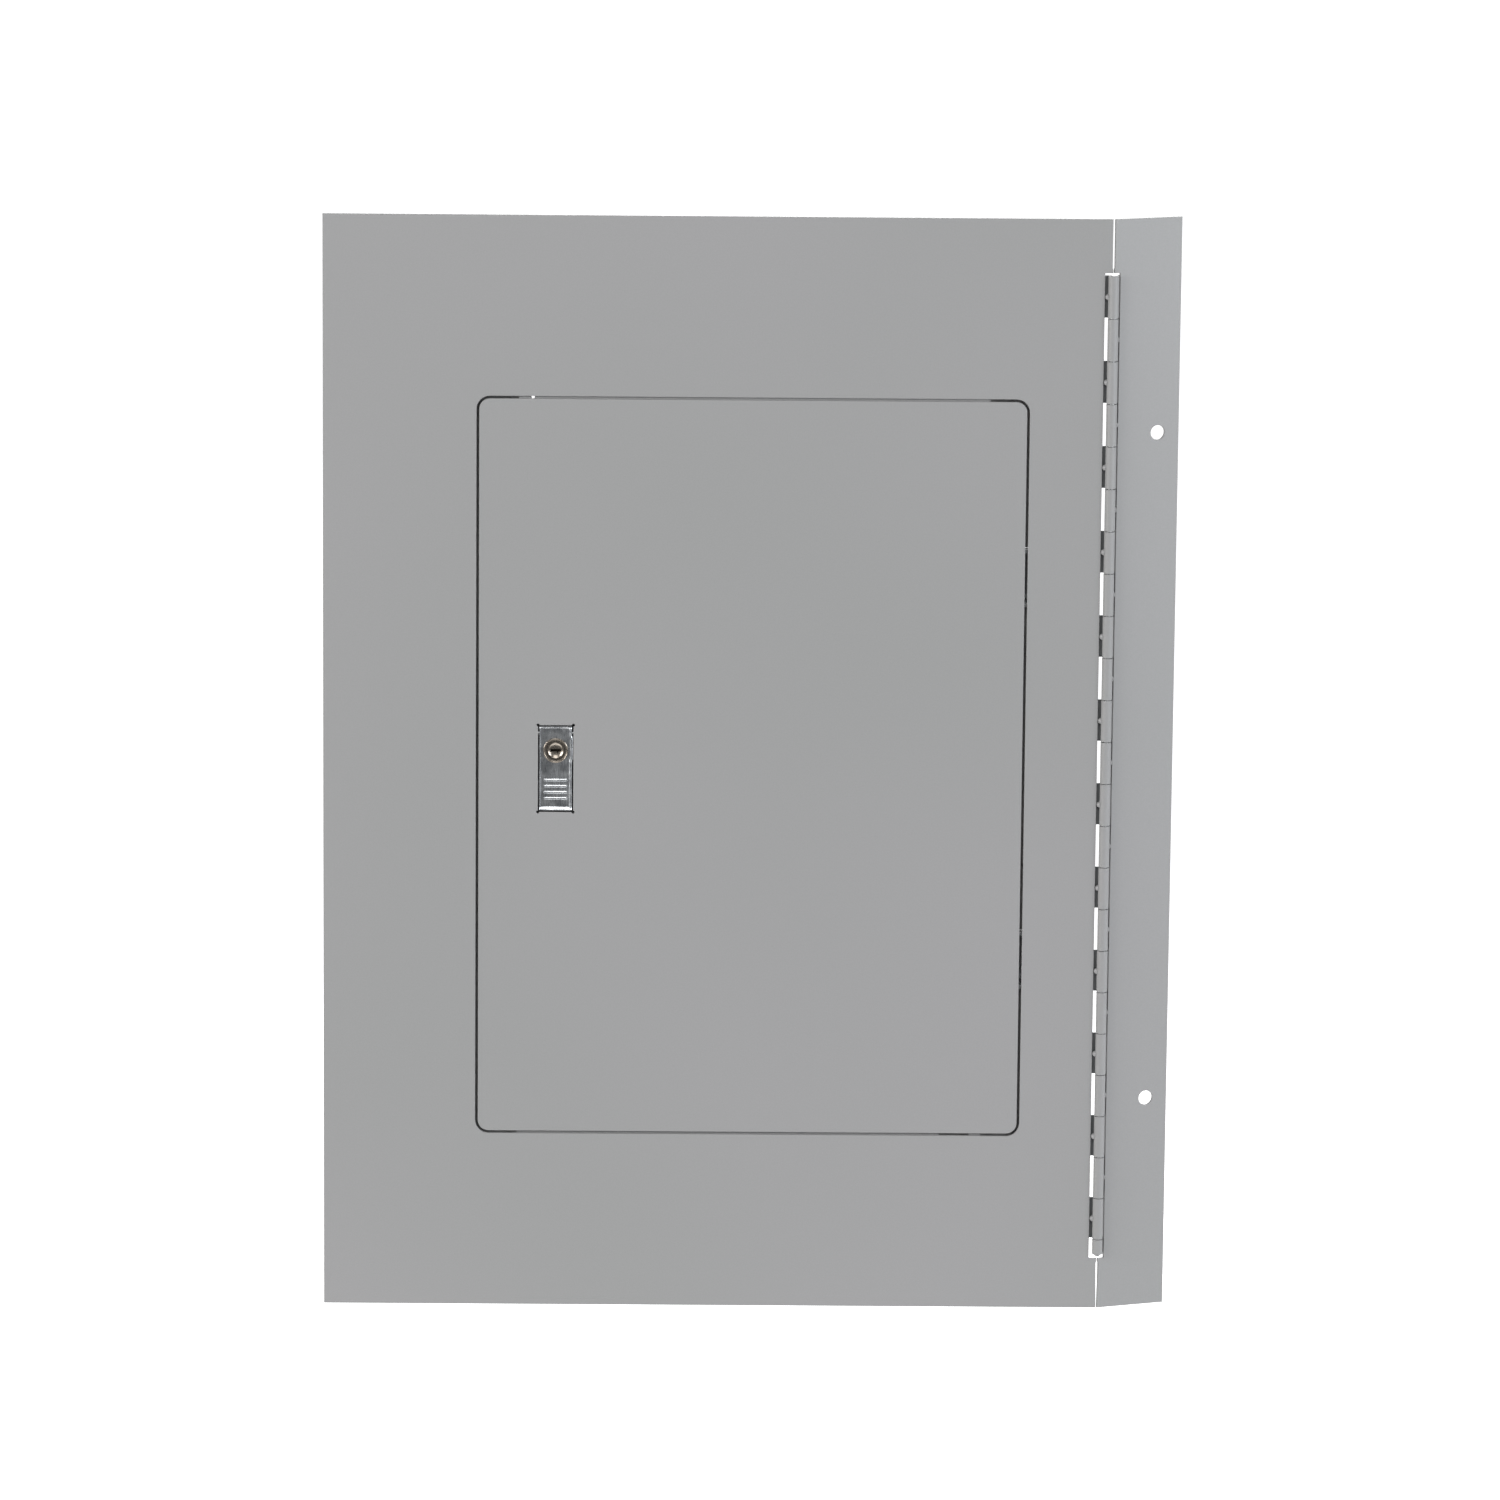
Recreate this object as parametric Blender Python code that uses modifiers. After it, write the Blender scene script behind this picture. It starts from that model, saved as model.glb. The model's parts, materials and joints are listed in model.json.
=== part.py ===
"""Hinged flush front of a fire alarm control panel, modelled as separate pieces.

The front is a flat steel trim sheet with a flush door in it. A piano hinge joins the trim to a
narrow mounting flange, which is screwed to the alarm box. Behind the door are the stop strips that
it closes against, two goose-neck hinges, a card holder, and a flush lock: a spring-loaded door
pull, a catch bolt and a key cylinder.

Lengths are in metres and +Z is up. Panel coordinates run x to the right from the trim sheet's
centre, y backwards from its front face, and z up from its mid-height. The world origin is the
middle of the mounting flange's back face.
"""

import math

import bmesh
import bpy
from mathutils import Matrix, Vector

MM = 0.001

# Sheets
SHEET_WIDTH = 464.1 * MM
SHEET_HEIGHT = 660.4 * MM
SHEET_THICKNESS = 1.9 * MM
FLANGE_WIDTH = 42.2 * MM
FLANGE_HOLE_SPACING = 404.4 * MM
FLANGE_HOLE_RADIUS = 4.35 * MM
FLANGE_HOLE_FROM_AXIS = 29.5 * MM
REST_ANGLE = math.radians(19.1)

# Piano hinge
BARREL_RADIUS = 3.2 * MM
HINGE_PIN_RADIUS = 1.85 * MM
HINGE_LENGTH = 593.7 * MM
KNUCKLE_PITCH = 25.4 * MM
KNUCKLE_GAP = 0.4 * MM
LEAF_THICKNESS = 1.2 * MM
LEAF_REACH = 19.8 * MM
SHEET_TO_SHEET = 1.45 * MM
HINGE_SLOT_END_CLEARANCE = 2.55 * MM
TRIM_SLOT_CLEARANCE = 2.3 * MM
FLANGE_SLOT_CLEARANCE = 0.8 * MM
TRIM_LEAF_CLEARANCE = 2.8 * MM
FLANGE_LEAF_CLEARANCE = 0.35 * MM
LEAF_SEAT_DEPTH = 0.1 * MM

# Door
DOOR_WIDTH = 322.9 * MM
DOOR_HEIGHT = 443.8 * MM
DOOR_X = 21.65 * MM
DOOR_Z = -0.7 * MM
DOOR_GAP = 1.6 * MM
DOOR_CORNER_RADIUS = 6.35 * MM

# Stop strips
STRIP_THICKNESS = 1.5 * MM
STRIP_WIDTH = 20.0 * MM
STRIP_OVERLAP = 9.0 * MM
STRIP_DEPTH = 6.3 * MM
LEFT_STRIP_INSIDE = 25.9 * MM
RIGHT_STRIP_INSIDE = 24.2 * MM
STRIP_LAP = 1.0 * MM
SIDE_STRIP_OUTSIDE = 10.6 * MM
SIDE_STRIP_LIP = 12.0 * MM
SIDE_STRIP_EXTRA = 14.5 * MM
PEEP_HOLE_RADIUS = 1.5 * MM
PEEP_HOLE_FROM_END = 8.4 * MM
STRIP_SLOT_WIDTH = 18.0 * MM
STRIP_SLOT_FROM_END = 7.0 * MM
TIE_TAB_LAP = 5.0 * MM

# Door hinges
DOOR_HINGE_SPACING = 232.0 * MM
DOOR_PIN_RADIUS = 2.0 * MM
DOOR_PIN_BESIDE = 10.0 * MM
DOOR_PIN_DEPTH = 6.0 * MM
ARM_HEIGHT = 28.0 * MM
ARM_THICKNESS = 2.0 * MM
ARM_FOOT = 22.0 * MM
ARM_TURN = 12.5 * MM
BRACKET_THICKNESS = 2.0 * MM
BRACKET_REACH = 18.0 * MM
BRACKET_LAP = 4.0 * MM

# Lock
LOCK_WIDTH = 21.0 * MM
LOCK_HEIGHT = 52.7 * MM
LOCK_FROM_DOOR_EDGE = 45.8 * MM
LOCK_Z = -1.15 * MM
RELIEF_RADIUS = 1.2 * MM
PULL_GAP = 0.8 * MM
PULL_TOP_GAP = 1.3 * MM
PULL_BOTTOM_GAP = 1.6 * MM
PULL_THICKNESS = 1.5 * MM
PULL_RECESS = 0.2 * MM
PULL_LIP = 1.6 * MM
PULL_LIP_PROUD = 0.8 * MM
PULL_EAR = 1.2 * MM
PULL_EAR_INSET = 0.25 * MM
PULL_EAR_DEPTH = 7.0 * MM
PULL_EAR_CHAMFER = 1.5 * MM
PULL_EAR_BELOW_PIN = 3.0 * MM
PULL_PIN_RADIUS = 1.25 * MM
PULL_PIN_FROM_TOP = 4.2 * MM
PULL_PIN_DEPTH = 4.5 * MM
HOUSING_WALL = 1.5 * MM
HOUSING_MARGIN = 4.5 * MM
HOUSING_DEPTH = 23.0 * MM
HOUSING_FLANGE = 12.0 * MM
STUD_RADIUS = 2.0 * MM
STUD_LENGTH = 9.0 * MM
NUT_RADIUS = 4.0 * MM
NUT_HEIGHT = 3.2 * MM

# Key cylinder
CYLINDER_FROM_TOP = 15.2 * MM
BARREL_HEAD_RADIUS = 7.4 * MM
BARREL_HEAD = 1.0 * MM
BARREL_BODY_RADIUS = 6.5 * MM
BARREL_LENGTH = 15.0 * MM
PLUG_RADIUS = 5.2 * MM
KEYWAY_WIDTH = 6.4 * MM
KEYWAY_HEIGHT = 1.6 * MM
KEYWAY_DEPTH = 11.0 * MM
PLUG_DISH = 1.2 * MM
PLUG_TAIL = 4.6 * MM
CAM_THICKNESS = 1.5 * MM
CAM_WIDTH = 9.0 * MM
CAM_SCREW_RADIUS = 1.2 * MM
LOCK_NUT_RADIUS = 8.3 * MM
LOCK_NUT_HEIGHT = 2.6 * MM

# Catch
CATCH_HEIGHT = 12.0 * MM
CATCH_THICKNESS = 3.0 * MM
CATCH_FROM_BOTTOM = 4.7 * MM
CATCH_OVERLAP = 8.0 * MM
CATCH_TRAVEL = 9.0 * MM
CATCH_SPRING_LENGTH = 17.0 * MM
SPRING_WIRE = 0.35 * MM

# Card holder and door stiffeners
CARD_WIDTH = 152.0 * MM
CARD_HEIGHT = 102.0 * MM
CARD_THICKNESS = 0.4 * MM
CARD_FROM_DOOR_MIDDLE = 13.35 * MM
CARD_Z = 90.0 * MM
HOLDER_LIP = 9.0 * MM
HOLDER_WALL = 1.0 * MM
STIFFENER_FROM_DOOR_SIDE = 43.45 * MM
STIFFENER_WIDTH = 30.0 * MM
STIFFENER_DEPTH = 9.0 * MM
STIFFENER_FROM_EDGE = 40.0 * MM

# Fasteners and small pieces on the trim
TRIM_SCREW_SPACING = 380.0 * MM
TRIM_SCREW_RADIUS = 2.4 * MM
TRIM_SCREW_LENGTH = 26.0 * MM
TRIM_SCREW_HEAD_RADIUS = 5.0 * MM
TRIM_SCREW_HEAD = 2.6 * MM
RETAINER_RADIUS = 5.0 * MM
RETAINER_THICKNESS = 1.0 * MM
BUMPER_RADIUS = 4.5 * MM
BUMPER_SPACING = 300.0 * MM
GROUND_STUD_RADIUS = 3.0 * MM
GROUND_STUD_LENGTH = 18.0 * MM
GROUND_STUD_FROM_CORNER = 34.0 * MM
GROUND_NUT_RADIUS = 5.8 * MM
GROUND_NUT_HEIGHT = 4.8 * MM

# Clearances and facets
CONTACT_GAP = 0.3 * MM
RUNNING_GAP = 0.15 * MM
LOOSE_GAP = 0.5 * MM
CUT_PAST = 2.0 * MM
SEGMENTS = 24
KNUCKLE_SEGMENTS = 12
ARC_STEPS = 4

# Places worked out from the sizes above
HINGE_AXIS_X = (SHEET_WIDTH + SHEET_TO_SHEET) / 2
AXIS_DEPTH = SHEET_THICKNESS + CONTACT_GAP + LEAF_THICKNESS - BARREL_RADIUS
SHEET_RIGHT = SHEET_WIDTH / 2
FLANGE_LEFT = HINGE_AXIS_X + SHEET_TO_SHEET / 2
FLANGE_RIGHT = FLANGE_LEFT + FLANGE_WIDTH
BEHIND_SHEET = SHEET_THICKNESS + CONTACT_GAP
OPENING_LEFT = DOOR_X - DOOR_WIDTH / 2 - DOOR_GAP
OPENING_RIGHT = DOOR_X + DOOR_WIDTH / 2 + DOOR_GAP
OPENING_TOP = DOOR_Z + DOOR_HEIGHT / 2 + DOOR_GAP
OPENING_BOTTOM = DOOR_Z - DOOR_HEIGHT / 2 - DOOR_GAP
STRIP_FACE = SHEET_THICKNESS + STRIP_DEPTH
LEFT_STRIP_EDGE = OPENING_LEFT + LEFT_STRIP_INSIDE
RIGHT_STRIP_EDGE = OPENING_RIGHT - RIGHT_STRIP_INSIDE
LEVEL_STRIP_LEFT = LEFT_STRIP_EDGE - STRIP_LAP
LEVEL_STRIP_RIGHT = RIGHT_STRIP_EDGE + STRIP_LAP
STRIP_SLOT_RIGHT = LEVEL_STRIP_RIGHT - STRIP_SLOT_FROM_END
STRIP_SLOT_LEFT = STRIP_SLOT_RIGHT - STRIP_SLOT_WIDTH
STRIP_ENDS = (OPENING_BOTTOM - SIDE_STRIP_EXTRA, OPENING_TOP + SIDE_STRIP_EXTRA)
DOOR_PIN_X = DOOR_X + DOOR_WIDTH / 2 + DOOR_PIN_BESIDE
LOCK_X = DOOR_X - DOOR_WIDTH / 2 + LOCK_FROM_DOOR_EDGE
PULL_TOP = LOCK_Z + LOCK_HEIGHT / 2 - PULL_TOP_GAP
PULL_BOTTOM = LOCK_Z - LOCK_HEIGHT / 2 + PULL_BOTTOM_GAP
PULL_WIDTH = LOCK_WIDTH - 2 * PULL_GAP
PULL_BACK = PULL_RECESS + PULL_THICKNESS
PULL_PIN_Z = PULL_TOP - PULL_PIN_FROM_TOP
CYLINDER_Z = LOCK_Z + LOCK_HEIGHT / 2 - CYLINDER_FROM_TOP
HOUSING_BACK = BEHIND_SHEET + HOUSING_DEPTH
HOUSING_HALF = LOCK_WIDTH / 2 + HOUSING_MARGIN
HOUSING_TOP = LOCK_Z + LOCK_HEIGHT / 2 + HOUSING_MARGIN
HOUSING_BOTTOM = LOCK_Z - LOCK_HEIGHT / 2 - HOUSING_MARGIN
BRACKET_HALF = ARM_HEIGHT / 2 + LOOSE_GAP + BRACKET_THICKNESS
BRACKET_LEFT = DOOR_X + DOOR_WIDTH / 2 - BRACKET_LAP
BRACKET_BACK = DOOR_PIN_DEPTH + ARM_TURN + LOOSE_GAP
CATCH_FRONT = STRIP_FACE + STRIP_THICKNESS + LOOSE_GAP
CATCH_LOW = LOCK_Z - LOCK_HEIGHT / 2 + CATCH_FROM_BOTTOM
CATCH_NOSE = LEFT_STRIP_EDGE - CATCH_OVERLAP
CATCH_TAIL = LOCK_X + HOUSING_HALF - HOUSING_WALL - CONTACT_GAP - CATCH_SPRING_LENGTH
CAM_FRONT = BARREL_LENGTH + CONTACT_GAP
CAM_LENGTH = HOUSING_HALF - HOUSING_WALL - 2 * LOOSE_GAP
TRIM_SCREW_X = (OPENING_LEFT + LEFT_STRIP_EDGE) / 2
CARD_X = DOOR_X + CARD_FROM_DOOR_MIDDLE


def panel_origin():
    """World place of the panel coordinates' origin, which puts the flange's back centre at zero."""
    middle = Vector((FLANGE_LEFT + FLANGE_WIDTH / 2 - HINGE_AXIS_X, SHEET_THICKNESS - AXIS_DEPTH, 0))
    turned = Matrix.Rotation(REST_ANGLE, 3, "Z") @ middle
    return -turned - Vector((HINGE_AXIS_X, AXIS_DEPTH, 0))


ORIGIN = panel_origin()


# Scene helpers


def clear_scene():
    for obj in list(bpy.data.objects):
        bpy.data.objects.remove(obj, do_unlink=True)


def new_collection(name):
    collection = bpy.data.collections.new(name)
    bpy.context.scene.collection.children.link(collection)
    return collection


def new_frame(name, place, parent=None):
    """An empty on a joint's axis, which the pieces of one moving body hang from."""
    frame = bpy.data.objects.new(name, None)
    frame.empty_display_size = 0.02
    frame.matrix_world = Matrix.Translation(ORIGIN + Vector(place))
    parts.objects.link(frame)
    bpy.context.view_layer.update()
    if parent:
        attach(frame, parent)
    return frame


def attach(obj, frame):
    """Parents an object without moving it."""
    obj.parent = frame
    obj.matrix_parent_inverse = frame.matrix_world.inverted()


def linear(value):
    return value / 12.92 if value <= 0.04045 else ((value + 0.055) / 1.055) ** 2.4


def material(name, colour, roughness, metallic):
    made = bpy.data.materials.new(name)
    made.use_nodes = True
    shader = made.node_tree.nodes["Principled BSDF"]
    channels = [int(colour[i : i + 2], 16) / 255 for i in (1, 3, 5)]
    shader.inputs["Base Color"].default_value = (*map(linear, channels), 1)
    shader.inputs["Roughness"].default_value = roughness
    shader.inputs["Metallic"].default_value = metallic
    return made


FINISHES = {
    "painted_steel": ("#a3a5a6", 0.55, 0.0),
    "plated_steel": ("#b8b6b0", 0.35, 0.9),
    "spring_steel": ("#8d8f91", 0.3, 1.0),
    "stainless": ("#8f9296", 0.22, 1.0),
    "nickel": ("#b9b0a2", 0.25, 1.0),
    "rubber": ("#1c1c1d", 0.8, 0.0),
    "paper": ("#ece9df", 0.9, 0.0),
    "clear_plastic": ("#dfe5e6", 0.1, 0.0),
    "fibre": ("#5b4a3a", 0.8, 0.0),
}


def as_piece(obj, frame, finish):
    """Names an object's material, shades it, and hangs it from its body's frame."""
    obj.data.materials.clear()
    obj.data.materials.append(material(obj.name + "_" + finish, *FINISHES[finish]))
    if obj.type == "MESH":
        obj.data.shade_smooth()
        obj.data.set_sharp_from_angle(angle=math.radians(30))
    attach(obj, frame)
    return obj


def new_object(name, mesh, place=(0, 0, 0)):
    obj = bpy.data.objects.new(name, mesh)
    obj.location = ORIGIN + Vector(place)
    parts.objects.link(obj)
    bpy.context.view_layer.update()
    return obj


def as_cutter(obj, piece):
    """Takes a shape out of the model and hangs it from the piece that it cuts or joins."""
    attach(obj, piece)
    parts.objects.unlink(obj)
    cutters.objects.link(obj)
    obj.hide_render = True
    obj.display_type = "WIRE"
    return obj


def combine(obj, operation, *others):
    """Adds a Boolean for each of the other objects, which become cutters."""
    for other in others:
        modifier = obj.modifiers.new(operation.lower() + "_" + other.name, "BOOLEAN")
        modifier.operation = operation
        modifier.object = as_cutter(other, obj)
    return obj


def cut(obj, *others):
    return combine(obj, "DIFFERENCE", *others)


def join(obj, *others):
    return combine(obj, "UNION", *others)


# Shapes

TURNS = {"X": (math.pi / 2, 0, math.pi / 2), "Y": (math.pi / 2, 0, 0), "Z": (0, 0, 0)}


def extruded(name, axis, start, end, outline, *holes):
    """A flat outline pushed from start to end along an axis.

    The outline's two coordinates are (y, z) for X, (x, z) for Y and (x, y) for Z.
    """
    curve = bpy.data.curves.new(name + "_outline", "CURVE")
    curve.dimensions = "2D"
    curve.fill_mode = "BOTH"
    curve.extrude = (end - start) / 2
    for points in (outline, *holes):
        spline = curve.splines.new("POLY")
        spline.points.add(len(points) - 1)
        for point, (u, v) in zip(spline.points, points):
            point.co = (u, v, 0, 1)
        spline.use_cyclic_u = True
    middle = {"X": 0, "Y": 1, "Z": 2}[axis]
    place = Vector((0, 0, 0))
    place[middle] = (start + end) / 2
    guide = new_object(name + "_curve", curve, place)
    guide.rotation_euler = TURNS[axis]
    bpy.context.view_layer.update()
    mesh = bpy.data.meshes.new_from_object(guide.evaluated_get(bpy.context.evaluated_depsgraph_get()))
    shape = bmesh.new()
    shape.from_mesh(mesh)
    bmesh.ops.remove_doubles(shape, verts=shape.verts, dist=1e-6)
    bmesh.ops.recalc_face_normals(shape, faces=shape.faces)
    shape.to_mesh(mesh)
    shape.free()
    obj = new_object(name, mesh)
    obj.matrix_world = guide.matrix_world
    bpy.data.objects.remove(guide)
    return obj


def rectangle(left, right, low, high):
    return [(left, low), (right, low), (right, high), (left, high)]


def arc(centre, radius, start, end, steps=ARC_STEPS):
    """Points on an arc, with its angles in quarter turns."""
    angles = [math.pi / 2 * (start + (end - start) * i / steps) for i in range(steps + 1)]
    return [(centre[0] + radius * math.cos(a), centre[1] + radius * math.sin(a)) for a in angles]


def rounded(left, right, low, high, radius):
    corners = (right - radius, high - radius), (left + radius, high - radius)
    corners += (left + radius, low + radius), (right - radius, low + radius)
    return [p for i, corner in enumerate(corners) for p in arc(corner, radius, i, i + 1)]


def relieved(left, right, low, high, radius):
    """A rectangle whose corners have round relief cuts."""
    corners = ((right, high), (left, high), (left, low), (right, low))
    return [p for i, c in enumerate(corners) for p in arc(c, radius, i - 1, i + 2, 2 * ARC_STEPS)]


def circle(centre, radius, segments=SEGMENTS):
    return arc(centre, radius, 0, 4 * (segments - 1) / segments, segments - 1)


def cylinders(name, axis, radius, centre, spans, segments=SEGMENTS):
    """One or more coaxial cylinders: centre is their place across the axis, in outline order."""
    shape = bmesh.new()
    turn = Matrix.Rotation(math.pi / 2, 4, "X") if axis == "Y" else Matrix.Identity(4)
    if axis == "X":
        turn = Matrix.Rotation(math.pi / 2, 4, "Y")
    for start, end in spans:
        middle = (start + end) / 2
        place = {
            "X": (middle, *centre),
            "Y": (centre[0], middle, centre[1]),
            "Z": (*centre, middle),
        }[axis]
        bmesh.ops.create_cone(
            shape,
            cap_ends=True,
            segments=segments,
            radius1=radius,
            radius2=radius,
            depth=end - start,
            matrix=Matrix.Translation(place) @ turn,
        )
    mesh = bpy.data.meshes.new(name)
    shape.to_mesh(mesh)
    shape.free()
    return new_object(name, mesh)


def block(name, x, y, z):
    """A box between two values on each axis."""
    return extruded(name, "Z", *z, rectangle(*x, *y))


def turned(name, place, profile, segments=SEGMENTS):
    """A solid of revolution about an axis along Y.

    The profile's points are (radius, depth behind place), from the front centre to the back centre.
    """
    shape = bmesh.new()
    verts = [shape.verts.new((radius, 0, -depth)) for radius, depth in profile]
    for first, second in zip(verts, verts[1:]):
        shape.edges.new((first, second))
    mesh = bpy.data.meshes.new(name)
    shape.to_mesh(mesh)
    shape.free()
    obj = new_object(name, mesh, place)
    obj.rotation_euler = TURNS["Y"]
    screw = obj.modifiers.new("turn", "SCREW")
    screw.steps = screw.render_steps = segments
    screw.use_merge_vertices = True
    screw.merge_threshold = 1e-6
    bpy.context.view_layer.update()
    return obj


def coil(name, points, wire):
    curve = bpy.data.curves.new(name, "CURVE")
    curve.dimensions = "3D"
    curve.bevel_depth = wire
    curve.bevel_resolution = 0
    curve.use_fill_caps = True
    spline = curve.splines.new("POLY")
    spline.points.add(len(points) - 1)
    for point, place in zip(spline.points, points):
        point.co = (*place, 1)
    return new_object(name, curve)


def helix(start, end, centre, radius, turns, per_turn=10):
    """Points of a coil whose axis is along X, with its centre at (y, z)."""
    for i in range(turns * per_turn + 1):
        share = i / (turns * per_turn)
        angle = 2 * math.pi * i / per_turn
        yield (
            start + (end - start) * share,
            centre[0] + radius * math.cos(angle),
            centre[1] + radius * math.sin(angle),
        )


# The piano hinge between the trim and the mounting flange


def knuckle_spans():
    """The height of each knuckle, top first; a short one ends the hinge."""
    top = HINGE_LENGTH / 2
    while top > -HINGE_LENGTH / 2 + KNUCKLE_GAP:
        bottom = max(top - KNUCKLE_PITCH, -HINGE_LENGTH / 2)
        yield bottom + KNUCKLE_GAP / 2, top - KNUCKLE_GAP / 2
        top = bottom


def hinge_leaf(name, side, first, clearance, frame):
    """One leaf: side is -1 for the trim's and 1 for the flange's."""
    spans = list(knuckle_spans())
    outer = HINGE_AXIS_X + side * LEAF_REACH
    edge = HINGE_AXIS_X + side * (BARREL_RADIUS + clearance)
    wrapped = HINGE_AXIS_X + side * BARREL_RADIUS / 3
    outline = [(outer, spans[0][1]), (outer, spans[-1][0])]
    for index, (low, high) in reversed(list(enumerate(spans))):
        mine = index % 2 == first
        margin = 0 if mine else KNUCKLE_GAP
        low_end = max(low - margin, spans[-1][0])
        high_end = min(high + margin, spans[0][1])
        x = wrapped if mine else edge
        outline += [(x, low_end), (x, high_end)]
    back = AXIS_DEPTH + BARREL_RADIUS
    leaf = extruded(name, "Y", back - LEAF_THICKNESS, back, outline)
    mine = [span for index, span in enumerate(spans) if index % 2 == first]
    centre = (HINGE_AXIS_X, AXIS_DEPTH)
    join(leaf, cylinders(name + "_knuckles", "Z", BARREL_RADIUS, centre, mine, KNUCKLE_SEGMENTS))
    bore = HINGE_PIN_RADIUS + RUNNING_GAP
    reach = HINGE_LENGTH / 2 + CUT_PAST
    cut(leaf, cylinders(name + "_bore", "Z", bore, centre, [(-reach, reach)], KNUCKLE_SEGMENTS))
    return as_piece(leaf, frame, "painted_steel")


def piano_hinge():
    hinge_leaf("trim_hinge_leaf", -1, 0, TRIM_LEAF_CLEARANCE, trim_frame)
    hinge_leaf("flange_hinge_leaf", 1, 1, FLANGE_LEAF_CLEARANCE, flange_frame)
    ends = (-HINGE_LENGTH / 2 - CUT_PAST / 2, HINGE_LENGTH / 2)
    pin = cylinders(
        "hinge_pin", "Z", HINGE_PIN_RADIUS, (HINGE_AXIS_X, AXIS_DEPTH), [ends], KNUCKLE_SEGMENTS
    )
    as_piece(pin, flange_frame, "plated_steel")


# The sheets


def slotted_edge(edge, inner, low, high):
    """The points of one sheet's hinge side, with the slot that the barrel stands in."""
    slot = HINGE_LENGTH / 2 + HINGE_SLOT_END_CLEARANCE
    return [(edge, low), (edge, -slot), (inner, -slot), (inner, slot), (edge, slot), (edge, high)]


def trim_sheet():
    low, high = -SHEET_HEIGHT / 2, SHEET_HEIGHT / 2
    inner = HINGE_AXIS_X - BARREL_RADIUS - TRIM_SLOT_CLEARANCE
    outline = [(-SHEET_WIDTH / 2, high), (-SHEET_WIDTH / 2, low)]
    outline += slotted_edge(SHEET_RIGHT, inner, low, high)
    radius = DOOR_CORNER_RADIUS + DOOR_GAP
    opening = rounded(OPENING_LEFT, OPENING_RIGHT, OPENING_BOTTOM, OPENING_TOP, radius)
    sheet = extruded("trim_sheet", "Y", 0, SHEET_THICKNESS, outline, opening)
    as_piece(sheet, trim_frame, "painted_steel")


def mounting_flange():
    low, high = -SHEET_HEIGHT / 2, SHEET_HEIGHT / 2
    inner = HINGE_AXIS_X + BARREL_RADIUS + FLANGE_SLOT_CLEARANCE
    outline = [(FLANGE_RIGHT, high), (FLANGE_RIGHT, low)]
    outline += slotted_edge(FLANGE_LEFT, inner, low, high)
    x = HINGE_AXIS_X + FLANGE_HOLE_FROM_AXIS
    holes = [circle((x, side * FLANGE_HOLE_SPACING / 2), FLANGE_HOLE_RADIUS) for side in (-1, 1)]
    sheet = extruded("mounting_flange", "Y", 0, SHEET_THICKNESS, outline, *holes)
    across = (FLANGE_LEFT - CUT_PAST, HINGE_AXIS_X + LEAF_REACH + LOOSE_GAP)
    depth = (SHEET_THICKNESS - LEAF_SEAT_DEPTH, SHEET_THICKNESS + CUT_PAST)
    reach = HINGE_LENGTH / 2 + HINGE_SLOT_END_CLEARANCE
    cut(sheet, block("leaf_seat", across, depth, (-reach, reach)))
    as_piece(sheet, flange_frame, "painted_steel")


# What stands behind the door opening, on the trim


def level_strips():
    """The flat strips across the top and bottom of the opening."""
    left, right = LEVEL_STRIP_LEFT, LEVEL_STRIP_RIGHT
    depth = (BEHIND_SHEET, BEHIND_SHEET + STRIP_THICKNESS)
    low = OPENING_TOP - (STRIP_WIDTH - STRIP_OVERLAP)
    top_outline = rectangle(left, right, low, low + STRIP_WIDTH)
    peep = circle((left + PEEP_HOLE_FROM_END, OPENING_TOP - DOOR_GAP / 2), PEEP_HOLE_RADIUS, 12)
    strip = extruded("stop_strip_top", "Y", *depth, top_outline, peep)
    as_piece(strip, trim_frame, "painted_steel")
    high = OPENING_BOTTOM + (STRIP_WIDTH - STRIP_OVERLAP)
    slot_low = OPENING_BOTTOM - DOOR_GAP
    outline = [(left, high - STRIP_WIDTH), (right, high - STRIP_WIDTH), (right, high)]
    outline += [(STRIP_SLOT_RIGHT, high), (STRIP_SLOT_RIGHT, slot_low)]
    outline += [(STRIP_SLOT_LEFT, slot_low), (STRIP_SLOT_LEFT, high), (left, high)]
    strip = extruded("stop_strip_bottom", "Y", *depth, outline)
    as_piece(strip, trim_frame, "painted_steel")


def side_strip(name, edge, web, direction):
    """A folded strip at one side: face behind the door, web forward, lip on the sheet's back."""
    lip = web + direction * SIDE_STRIP_LIP
    thick = direction * STRIP_THICKNESS
    face, back = STRIP_FACE, STRIP_FACE + STRIP_THICKNESS
    front = BEHIND_SHEET
    profile = [(edge, face), (web - thick, face), (web - thick, front), (lip, front)]
    profile += [(lip, front + STRIP_THICKNESS), (web, front + STRIP_THICKNESS), (web, back), (edge, back)]
    return extruded(name, "Z", *STRIP_ENDS, profile)


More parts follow.
